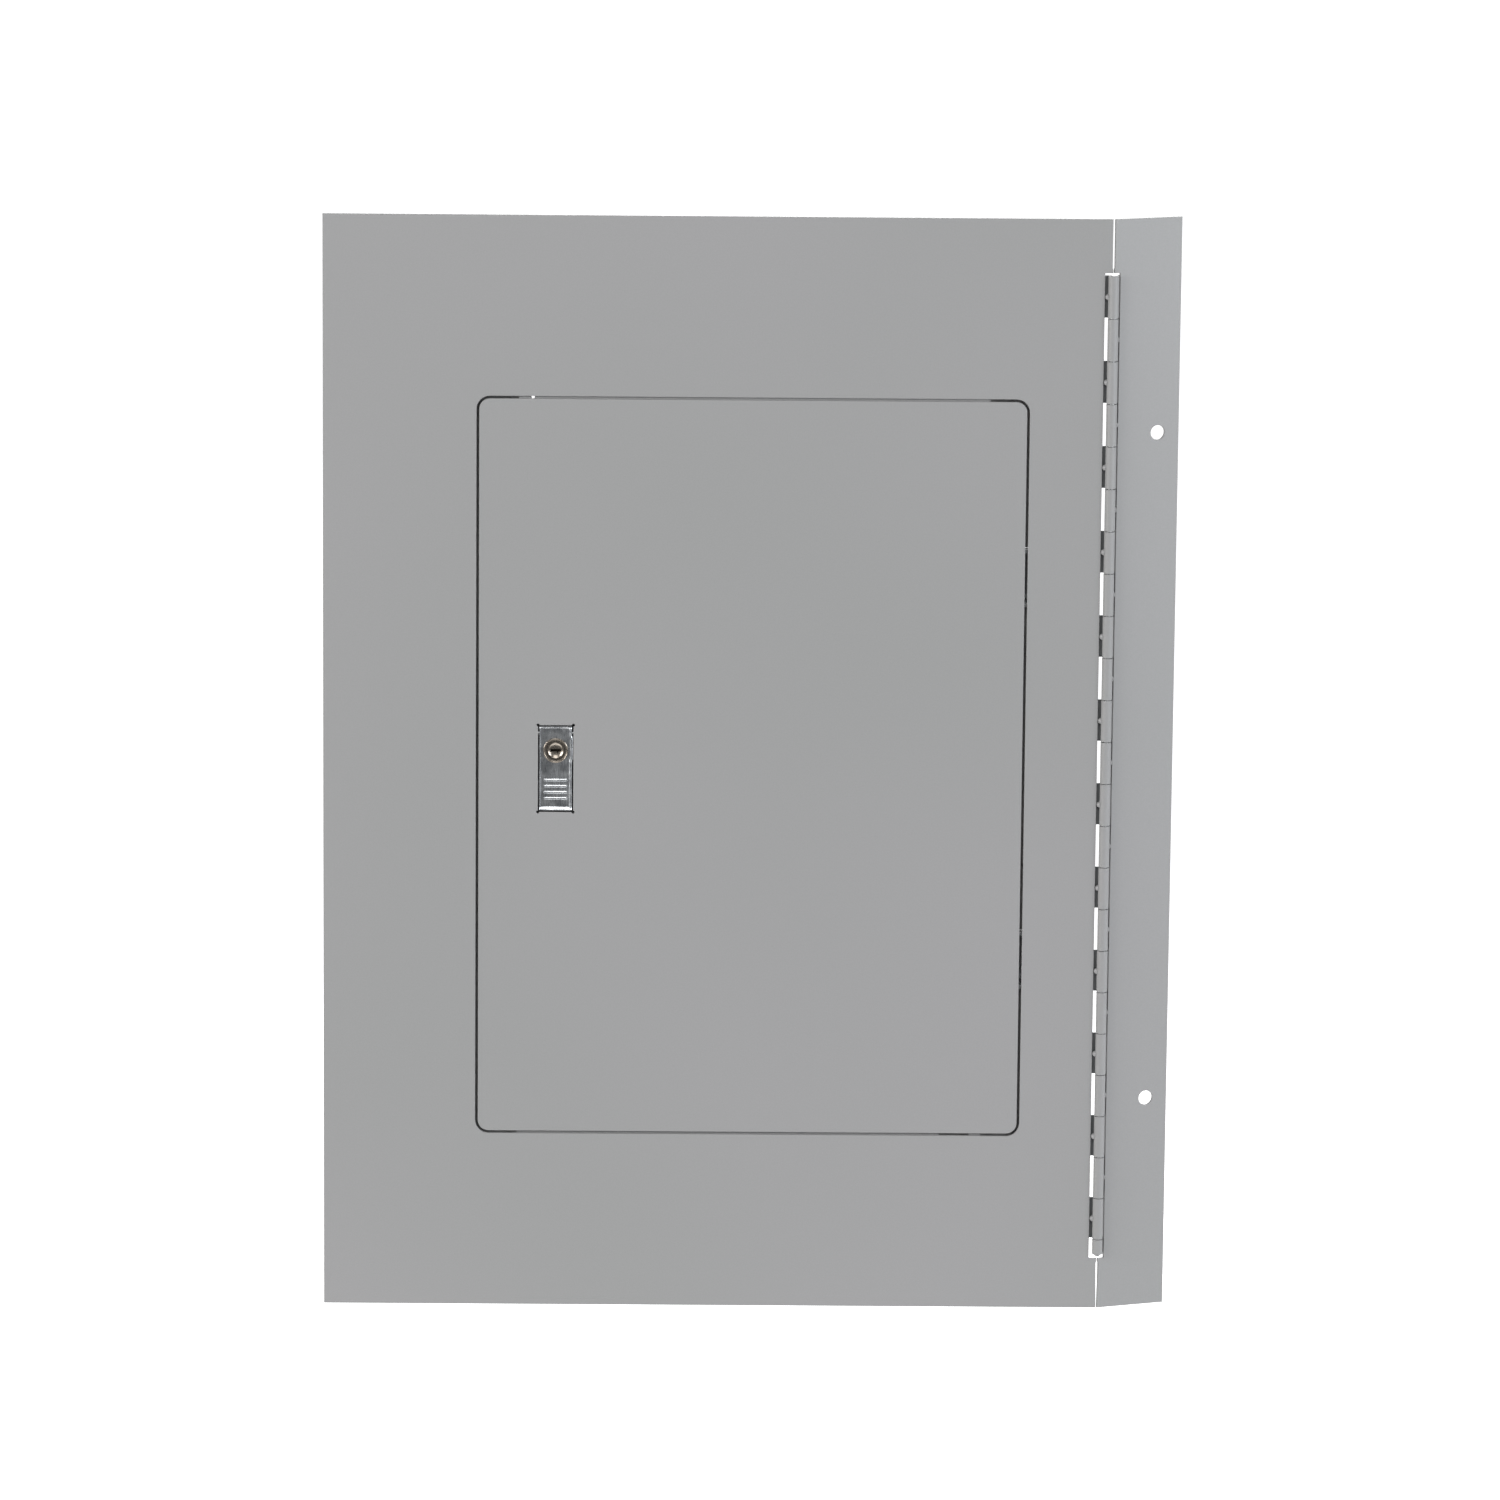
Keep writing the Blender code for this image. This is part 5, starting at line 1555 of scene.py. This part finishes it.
@dataclass
class FlushLock:
    """The lock: housing, sprung pull, key cylinder, cam, catch and springs.

    Attributes:
        soft: Width of the rounded edges of pressed parts.
        lip: Height of the pull's lip.
        lip_rise: How far the lip stands out.
        lip_drop: How far the lip hangs below the pull's solid.
        thickness: Thickness of the pull.
        rim: Width of the bead round the pull's face.
        rim_rise: Height of the bead.
        right_rim: Width of the heavier bead on the right.
        right_rim_rise: Its height.
        crown: How far the pull's top edge is rolled back over the pivot.
        crown_radius: Radius of that roll about the pivot.
        crown_wall: How far the roll's back stays below its front, as a share of its rise.
        ribs: Number of finger ribs.
        rib_pitch: Distance between ribs.
        rib_rise: Height of a rib.
        rib_half: Half the ribs' length.
        rib_fade: Length over which a rib's end fades out.
        ribs_above: From the pull's bottom to the middle of the ribs.
        fulcrum: How far the pull's right side bulges out beside the cylinder.
        fulcrum_above: From the cylinder's axis up to the middle of the bulge.
        fulcrum_half: Half the bulge's height.
        bead_middle: From a side to the top of its bead, as a share of the bead's width.
        bead_spread: How fast a bead falls off, as a share of its width.
        roll: Radius of the pull's outer edge.
        fine: Places of the grid's lines near each side of the pull, in millimetres.
        hole: Radius of the cylinder's hole.
        ear: Thickness of the pull's ears.
        ear_inset: From the pull's side to its ear.
        ear_depth: How far the ears reach back.
        ear_below: How far they reach below the pin.
        ear_cut: Size of their cut corners.
        pin: Radius of the pivot pin.
        pin_ease: Size of the chamfers on its ends.
        wire: Radius of the spring wire.
        pull_coil: Radius of the pull spring's middle line.
        pull_turns: Number of its turns.
        catch_coil: Radius of the catch spring's middle line.
        catch_turns: Number of its turns.
        stud_hole: Radius of the bore of the lock's nuts.
        barrel_body: Radius of the key cylinder behind its head.
        barrel_bore: Radius of its bore.
        barrel_ring: Radius of the ring round its head.
        barrel_head: Thickness of its head.
        dish: Depth of the plug's dished face.
        keyway: Width and height of the keyway.
        keyway_depth: Its depth.
        keyway_corner: Radius of its corners.
        ward: Sides of the ward's groove, from the cylinder's axis.
        tail: Half the width of the plug's square tail.
        cam_clearance: Gap between the plug's round body and the cam.
        cam_screw_shank: Radius of the cam screw's shank.
        cam_screw_head: Height of its head.
        travel: How far the catch slides. It is not used.
    """

    soft: float = 0.25 * MM
    lip: float = 2.1 * MM
    lip_rise: float = 0.8 * MM
    lip_drop: float = 0.4 * MM
    thickness: float = 1.5 * MM
    rim: float = 1.1 * MM
    rim_rise: float = 0.22 * MM
    right_rim: float = 1.9 * MM
    right_rim_rise: float = 0.42 * MM
    crown: float = 1.05 * MM
    crown_radius: float = 5.95 * MM
    crown_wall: float = 0.6
    ribs: int = 4
    rib_pitch: float = 3.7 * MM
    rib_rise: float = 0.3 * MM
    rib_half: float = 7.4 * MM
    rib_fade: float = 0.9 * MM
    ribs_above: float = 12.7 * MM
    fulcrum: float = 0.6 * MM
    fulcrum_above: float = 1.0 * MM
    fulcrum_half: float = 7.3 * MM
    bead_middle: float = 0.45
    bead_spread: float = 0.34
    roll: float = 0.5 * MM
    fine: tuple[float, ...] = (0, 0.04, 0.1, 0.18, 0.28, 0.4, 0.55, 0.72, 0.9, 1.1, 1.3, 1.5)
    hole: float = 6.8 * MM
    ear: float = 1.2 * MM
    ear_inset: float = 0.25 * MM
    ear_depth: float = 7.0 * MM
    ear_below: float = 3.0 * MM
    ear_cut: float = 1.5 * MM
    pin: float = 1.25 * MM
    pin_ease: float = 0.3 * MM
    wire: float = 0.35 * MM
    pull_coil: float = 1.9 * MM
    pull_turns: int = 9
    catch_coil: float = 1.5 * MM
    catch_turns: int = 8
    stud_hole: float = 2.05 * MM
    barrel_body: float = 6.5 * MM
    barrel_bore: float = 5.35 * MM
    barrel_ring: float = 0.35 * MM
    barrel_head: float = 1.0 * MM
    dish: float = 1.2 * MM
    keyway: Pair = (6.4 * MM, 1.5 * MM)
    keyway_depth: float = 11.0 * MM
    keyway_corner: float = 0.35 * MM
    ward: Pair = (0.8 * MM, 1.7 * MM)
    tail: float = 2.3 * MM
    cam_clearance: float = 0.3 * MM
    cam_screw_shank: float = 1.2 * MM
    cam_screw_head: float = 1.2 * MM
    travel: float = 9.0 * MM

    def build(self) -> None:
        """Builds every part of the lock."""
        softened("lock_housing", self.soft, ZINC, "door")
        for node in ("lock_nut_upper", "lock_nut_lower"):
            x, _, z = measured(node)[2]
            new_piece(node, nut(node, self.stud_hole, (x, 0, z)), ZINC, "door")
        low, high, (_, y, z) = measured("pull_pivot_pin")
        rod = pin((high[2] - low[2]) / 2, (low[0], high[0]), self.pin_ease, (0, y, z), Axis.X)
        new_piece("pull_pivot_pin", rod, ZINC, "door")
        self.pull()
        self.pull_spring()
        self.barrel()
        self.plug()
        softened("lock_cam", self.soft, ZINC, "plug")
        self.cam_screw()
        softened("catch_bolt", self.soft, ZINC, "catch")
        self.catch_spring()

    def pull(self) -> None:
        """The pressed pull: a buffed face with a beaded rim, a full lip and finger ribs.

        The face is a grid that stands out by its relief. On the right it bulges by a flat-topped bell of
        the height times the eighth power of the share across. The top edge rises evenly and is drawn
        back to a circle about the pivot.
        """
        low, high, _ = measured("door_pull")
        low[2] -= self.lip_drop
        x_axis, z_axis = self.cylinder_axis()
        face = low[1] + self.lip_rise
        across = self.spread(low[0], high[0], 0.32 * MM)
        up = self.spread(low[2], high[2], 0.2 * MM)
        x, z = np.meshgrid(across, up, indexing="ij")
        depth = face - self.relief(x, z, low, high)
        beside = np.exp(-(((z - z_axis - self.fulcrum_above) / self.fulcrum_half) ** 12))
        share = (x - low[0]) / (high[0] - low[0])
        x = x + self.fulcrum * beside * share**8
        _, pin_depth, pin_height = measured("pull_pivot_pin")[2]
        lean = np.clip((z - high[2] + self.crown) / self.crown, 0, 1)
        rise = self.crown * lean
        z = z + rise
        reach = np.sqrt(np.maximum(self.crown_radius**2 - (z - pin_height) ** 2, 0))
        rolled = np.where(lean > 0, np.maximum(depth, pin_depth - reach), depth)
        front = np.stack([x, rolled, z], -1)
        back = np.stack([x, np.full_like(x, face + self.thickness), z - self.crown_wall * rise], -1)
        drill = [(0, -3 * MM), (self.hole, -3 * MM), (self.hole, 6 * MM), (0, 6 * MM)]
        hole = lathe(drill, (x_axis, face, z_axis), Axis.Y)
        shells = [carved(slab(front, back), hole), *self.ears(low, high, face)]
        new_piece("door_pull", together(shells), STAINLESS, "pull")

    def spread(self, low: float, high: float, step: float) -> np.ndarray:
        """Places between two ends that are close together near both of them.

        Args:
            low: First end.
            high: Last end.
            step: Largest step in the middle.

        Returns:
            The places in order.
        """
        fine = np.array(self.fine) * MM
        inner = (low + fine[-1], high - fine[-1])
        count = max(2, math.ceil((inner[1] - inner[0]) / step))
        return np.concatenate([low + fine[:-1], np.linspace(*inner, count + 1), (high - fine[:-1])[::-1]])

    def relief(self, x: np.ndarray, z: np.ndarray, low: np.ndarray, high: np.ndarray) -> np.ndarray:
        """How far the pull's front stands out at each place.

        It adds up a bell-shaped bead at a fixed distance from the sides and the top, an almost straight
        slope out to the lip's edge, and the cube of a raised cosine for each rib, which fades out at
        the ribs' ends. A quarter circle takes the outer edge back.

        Args:
            x: Places across.
            z: Heights.
            low: The pull's lowest corner.
            high: The pull's highest corner.

        Returns:
            The height of the surface over the face.
        """
        top, base = high[2] - z, z - low[2]
        border = np.minimum(np.minimum(x - low[0], high[0] - x), top)
        beads = []
        for away, width, height in (
            (border, self.rim, self.rim_rise),
            (high[0] - x, self.right_rim, self.right_rim_rise),
        ):
            past = (away - self.bead_middle * width) / (self.bead_spread * width)
            beads.append(height * np.exp(-(past**2)))
        lip = self.lip_rise * np.clip(1 - base / self.lip, 0, 1) ** 0.9
        rise = base - self.ribs_above
        window = np.clip((self.rib_half - np.abs(x - (low[0] + high[0]) / 2)) / self.rib_fade, 0, 1)
        window = window * window * (3 - 2 * window)
        inside = np.abs(rise) < self.ribs * self.rib_pitch / 2
        wave = 0.5 * (1 - np.cos(2 * math.pi * (rise / self.rib_pitch + self.ribs / 2)))
        ribs = self.rib_rise * window * inside * wave**3
        rim = np.clip(1 - np.minimum(border, base) / self.roll, 0, 1)
        return np.maximum(np.maximum(*beads), lip) + ribs - self.roll * (1 - np.sqrt(1 - rim * rim))

    def ears(self, low: np.ndarray, high: np.ndarray, face: float) -> list[Shell]:
        """The two ears on the pivot pin and the tongue that draws the catch.

        Args:
            low: The pull's lowest corner.
            high: The pull's highest corner.
            face: Depth of the pull's face.

        Returns:
            Closed shells.
        """
        _, pin_depth, pin_height = measured("pull_pivot_pin")[2]
        root, back, cut = face + self.thickness / 2, face + self.ear_depth, self.ear_cut
        top, base = high[2] - self.ear_inset, pin_height - self.ear_below
        outline = [(root, top), (back - cut, top), (back, top - cut), (back, base), (root, base - cut)]
        bore = circle((pin_depth, pin_height), self.pin + 0.12 * MM, 24)
        shells = []
        for start in (low[0] + self.ear_inset, high[0] - self.ear_inset - self.ear):
            shells.append(plate(np.array(outline), (start, start + self.ear), Axis.X, (bore,), 0.2 * MM, 2))
        catch_low, catch_high, _ = measured("catch_bolt")
        third = (catch_high[2] - catch_low[2]) / 3
        middle = (low[0] + high[0]) / 2
        tongue_low = (middle - self.thickness, root, catch_low[2] + third)
        return [*shells, block(tongue_low, (middle, high[1], catch_low[2] + 2 * third))]

    def cylinder_axis(self) -> Pair:
        """Place across and height of the key cylinder's axis."""
        middle = measured("lock_barrel")[2]
        return middle[0], middle[2]

    def coil(self, node: str, radius: float, turns: int) -> Shell:
        """A spring along X: the radius times the cosine and sine of an angle that grows with the distance.

        Args:
            node: The spring's name.
            radius: Radius of the coil.
            turns: Number of turns.

        Returns:
            A closed shell.
        """
        low, high, (_, y, z) = measured(node)
        start, end = low[0] + self.wire, high[0] - self.wire
        share = np.linspace(0, 1, round(turns * 20) + 1)
        angle = 2 * math.pi * turns * share
        along = start + (end - start) * share
        path = np.stack([along, y + radius * np.cos(angle), z + radius * np.sin(angle)], -1)
        return wire(path, self.wire)

    def pull_spring(self) -> None:
        """The torsion spring round the pivot pin."""
        new_piece("pull_spring", self.coil("pull_spring", self.pull_coil, self.pull_turns), WIRE, "pull")

    def barrel(self) -> None:
        """The key cylinder: a turned nickel barrel with a dished, ringed head and a threaded body.

        The dish is a parabola, the ring half an ellipse, and the thread a row of teeth.
        """
        low, high, _ = measured("lock_barrel")
        x, z = self.cylinder_axis()
        head, body, bore = (high[2] - low[2]) / 2, self.barrel_body, self.barrel_bore
        ring, rim = self.barrel_ring, self.barrel_head
        length = high[1] - low[1]
        share = np.linspace(0, 1, 6)
        dish = np.stack([bore + (head - 2 * ring - bore) * share, 0.46 * MM - 0.26 * MM * share**2], -1)
        bend = share * math.pi
        round_ring = np.stack([head - ring - ring * np.cos(bend), 0.3 * MM * (1 - np.sin(bend))], -1)
        grooves = np.arange(2.2 * MM, length - 0.6 * MM, 0.5 * MM)
        teeth = np.stack([body - 0.3 * MM * (np.arange(len(grooves)) % 2), grooves], -1)
        flank = [(head, 0.5 * MM), (head, 0.9 * rim), (head - 0.1 * MM, rim), (body, rim)]
        end = [(body - 0.5 * MM, length), (bore, length), dish[0]]
        profile = np.vstack([dish, round_ring, flank, teeth, end])
        new_piece("lock_barrel", lathe(profile, (x, low[1], z), Axis.Y, 96), NICKEL, "pull")
        shell = nut("lock_retaining_nut", body + 0.15 * MM, (x, 0, z))
        new_piece("lock_retaining_nut", shell, ZINC, "pull")

    def plug(self) -> None:
        """The plug that the key turns: a dished face with a level keyway, and a square tail.

        The dish's depth is a power of one less the squared share of its radius.
        """
        low, high, _ = measured("lock_plug")
        x, z = self.cylinder_axis()
        cam_low, cam_high, _ = measured("lock_cam")
        r, front = (high[2] - low[2]) / 2, low[1]
        end = cam_low[1] - self.cam_clearance - front
        share = np.linspace(0, 1, 12)
        dish = np.stack([0.88 * r * share, self.dish * (1 - share**2) ** 0.8], -1)
        rim = [(0.93 * r, 0), (0.98 * r, 0.08 * MM), (r, 0.3 * MM), (r, end), (0, end)]
        body = lathe(np.vstack([dish, rim]), (x, front, z), Axis.Y, 80)
        # The cutters start in front of the face and end inside the plug.
        near, far = front - 2 * MM, front + self.keyway_depth
        wide, tall = self.keyway
        slot_low, slot_high = (x - wide / 2, near, z - tall / 2), (x + wide / 2, far, z + tall / 2)
        slot = block(slot_low, slot_high, self.keyway_corner, 0.05 * MM, (4, 3))
        ward_low, ward_high = (x + self.ward[0], near, z - tall * 0.95), (x + self.ward[1], far, z)
        ward = block(ward_low, ward_high, 0.2 * MM, 0.05 * MM)
        tail = self.tail
        square = block((x - tail, front + end - 0.5 * MM, z - tail), (x + tail, cam_high[1], z + tail))
        new_piece("lock_plug", carved(body, slot, ward) + square, NICKEL, "plug")

    def cam_screw(self) -> None:
        """The round-headed screw that holds the cam, with a slot across it."""
        low, high, _ = measured("cam_screw")
        x, z = self.cylinder_axis()
        r, shank = (high[2] - low[2]) / 2, self.cam_screw_shank
        head = high[1] - self.cam_screw_head - low[1]
        length = high[1] - low[1]
        profile = [(0, 0), (shank, 0), (shank, head), (r, head), (r, head + 0.5 * MM)]
        profile += [(0.85 * r, length - 0.2 * MM), (0.6 * r, length), (0, length)]
        body = lathe(profile, (x, low[1], z), Axis.Y, 40)
        slot_low = (x - r - MM, high[1] - 0.6 * MM, z - 0.4 * MM)
        slot_high = (x + r + MM, high[1] + MM, z + 0.4 * MM)
        new_piece("cam_screw", carved(body, block(slot_low, slot_high, 0.05 * MM)), ZINC, "plug")

    def catch_spring(self) -> None:
        """The compression spring behind the catch, whose far end stays on the housing."""
        coil = self.coil("catch_spring", self.catch_coil, self.catch_turns)
        spring = new_piece("catch_spring", coil, WIRE, "door")
        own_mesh(spring)


# Studio


@dataclass(frozen=True)
class Softbox:
    """A square studio light.

    Attributes:
        name: The light's name.
        place: Where it stands.
        size: Length of its sides.
        watts: Its power.
        colour: Its colour.
    """

    name: str
    place: tuple[float, float, float]
    size: float
    watts: float
    colour: str = "#ffffff"


@dataclass
class Studio:
    """A white studio: floor, backdrop light, softboxes and camera.

    Attributes:
        floor_height: Height of the floor.
        floor_near: How far the floor reaches towards the camera.
        floor_far: How far it reaches away.
        floor_half: Half its width.
        ambient: Strength of the room's own light on the object.
        camera_place: Where the camera stands.
        camera_pan: Its turn to the right, in degrees.
        camera_tilt: Its turn downwards, in degrees.
        camera_roll: Its turn about its own line of sight, in degrees.
        lens: Focal length in millimetres.
        sensor: Width of the camera's sensor in millimetres.
        sight: How far the camera sees.
        aim: Where the softboxes point.
        boxes: The softboxes.
    """

    floor_height: float = -1.0
    floor_near: float = -0.8
    floor_far: float = 18.0
    floor_half: float = 7.0
    ambient: float = 0.18
    camera_place: tuple[float, float, float] = (-0.27544, -4.93165, 1.0121)
    camera_pan: float = 0.512
    camera_tilt: float = 11.494
    camera_roll: float = 0.5
    lens: float = 203.0
    sensor: float = 36.0
    sight: float = 60.0
    aim: tuple[float, float, float] = (-0.25, 0.0, 0.0)
    boxes: tuple[Softbox, ...] = (
        Softbox("softbox_above", (-0.4, -2.7, 2.1), 1.6, 34.0),
        Softbox("softbox_left", (-3.1, -1.9, 0.9), 1.7, 122.0),
        Softbox("softbox_right", (2.7, -2.0, 0.9), 1.7, 130.0, "#f6faff"),
        Softbox("softbox_behind", (0.4, 2.8, 1.6), 2.0, 60.0),
    )

    def build(self) -> None:
        """Builds the studio."""
        scene = bpy.context.scene
        scene.view_settings.view_transform = "Standard"
        scene.view_settings.look = "None"
        self.room()
        self.floor()
        for box in self.boxes:
            self.light(box)
        self.camera()

    def room(self) -> None:
        """A room that is white to look at and grey as a light."""
        world = bpy.data.worlds.new("white_room")
        world.use_nodes = True
        tree = world.node_tree
        tree.nodes.clear()
        seen = add(tree, "ShaderNodeBackground", {"Color": (1, 1, 1, 1), "Strength": 1.0})
        lit = add(tree, "ShaderNodeBackground", {"Color": linear("#f4f6f8"), "Strength": self.ambient})
        path = add(tree, "ShaderNodeLightPath")
        layers = {0: path.outputs["Is Camera Ray"], 1: lit.outputs[0], 2: seen.outputs[0]}
        mixed = add(tree, "ShaderNodeMixShader", layers)
        add(tree, "ShaderNodeOutputWorld", {"Surface": mixed.outputs[0]})
        bpy.context.scene.world = world

    def floor(self) -> None:
        """A plain white floor, bright enough to meet the room without an edge."""
        x = np.linspace(-self.floor_half, self.floor_half, 3)
        y = np.linspace(self.floor_near, self.floor_far, 3)
        grid = np.stack(np.meshgrid(x, y, indexing="ij"), -1).reshape(-1, 2)
        points = np.insert(grid, 2, self.floor_height, axis=1)
        mesh = bpy.data.meshes.new("studio_floor")
        mesh.from_pydata(points.tolist(), [], grid_faces(3, 3, False)[:, ::-1].tolist())
        paper = bpy.data.materials.new("white_studio_paper")
        paper.use_nodes = True
        shader = paper.node_tree.nodes["Principled BSDF"]
        shader.inputs["Base Color"].default_value = linear("#f4f4f4")
        shader.inputs["Roughness"].default_value = 0.9
        shader.inputs["Emission Color"].default_value = (1, 1, 1, 1)
        shader.inputs["Emission Strength"].default_value = 1.0
        mesh.materials.append(paper)
        linked("studio_floor", mesh)

    def light(self, box: Softbox) -> None:
        """Adds a softbox that faces the object.

        Args:
            box: What it is.
        """
        lamp = bpy.data.lights.new(box.name, "AREA")
        lamp.shape = "SQUARE"
        lamp.size = box.size
        lamp.energy = box.watts
        lamp.color = linear(box.colour)[:3]
        aim = Vector(self.aim) - Vector(box.place)
        turn = aim.to_track_quat("-Z", "Y").to_matrix().to_4x4()
        linked(box.name, lamp).matrix_world = Matrix.Translation(box.place) @ turn

    def camera(self) -> None:
        """Sets the camera up a little above the front, looking down at it through a long lens."""
        lens = bpy.data.cameras.new("studio_camera")
        lens.lens = self.lens
        lens.sensor_width = self.sensor
        lens.clip_end = self.sight
        obj = linked("studio_camera", lens)
        pan = Matrix.Rotation(math.radians(-self.camera_pan), 4, "Z")
        tilt = Matrix.Rotation(math.radians(90 - self.camera_tilt), 4, "X")
        roll = Matrix.Rotation(math.radians(self.camera_roll), 4, "Z")
        obj.matrix_world = Matrix.Translation(self.camera_place) @ pan @ tilt @ roll
        bpy.context.scene.camera = obj


def main() -> None:
    """Loads the frame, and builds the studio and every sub-assembly."""
    logging.basicConfig(level=logging.INFO, format="%(name)s: %(message)s")
    FRAME.update(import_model())
    Studio().build()
    places = Places.from_frame()
    assemblies = (
        Sheets(places),
        PianoHinge(places),
        StopStrips(),
        DoorHinges(),
        DoorFittings(),
        TrimFittings(),
        FlushLock(),
    )
    for assembly in assemblies:
        LOG.info("building %s", type(assembly).__name__)
        assembly.build()


if __name__ == "__main__":
    main()
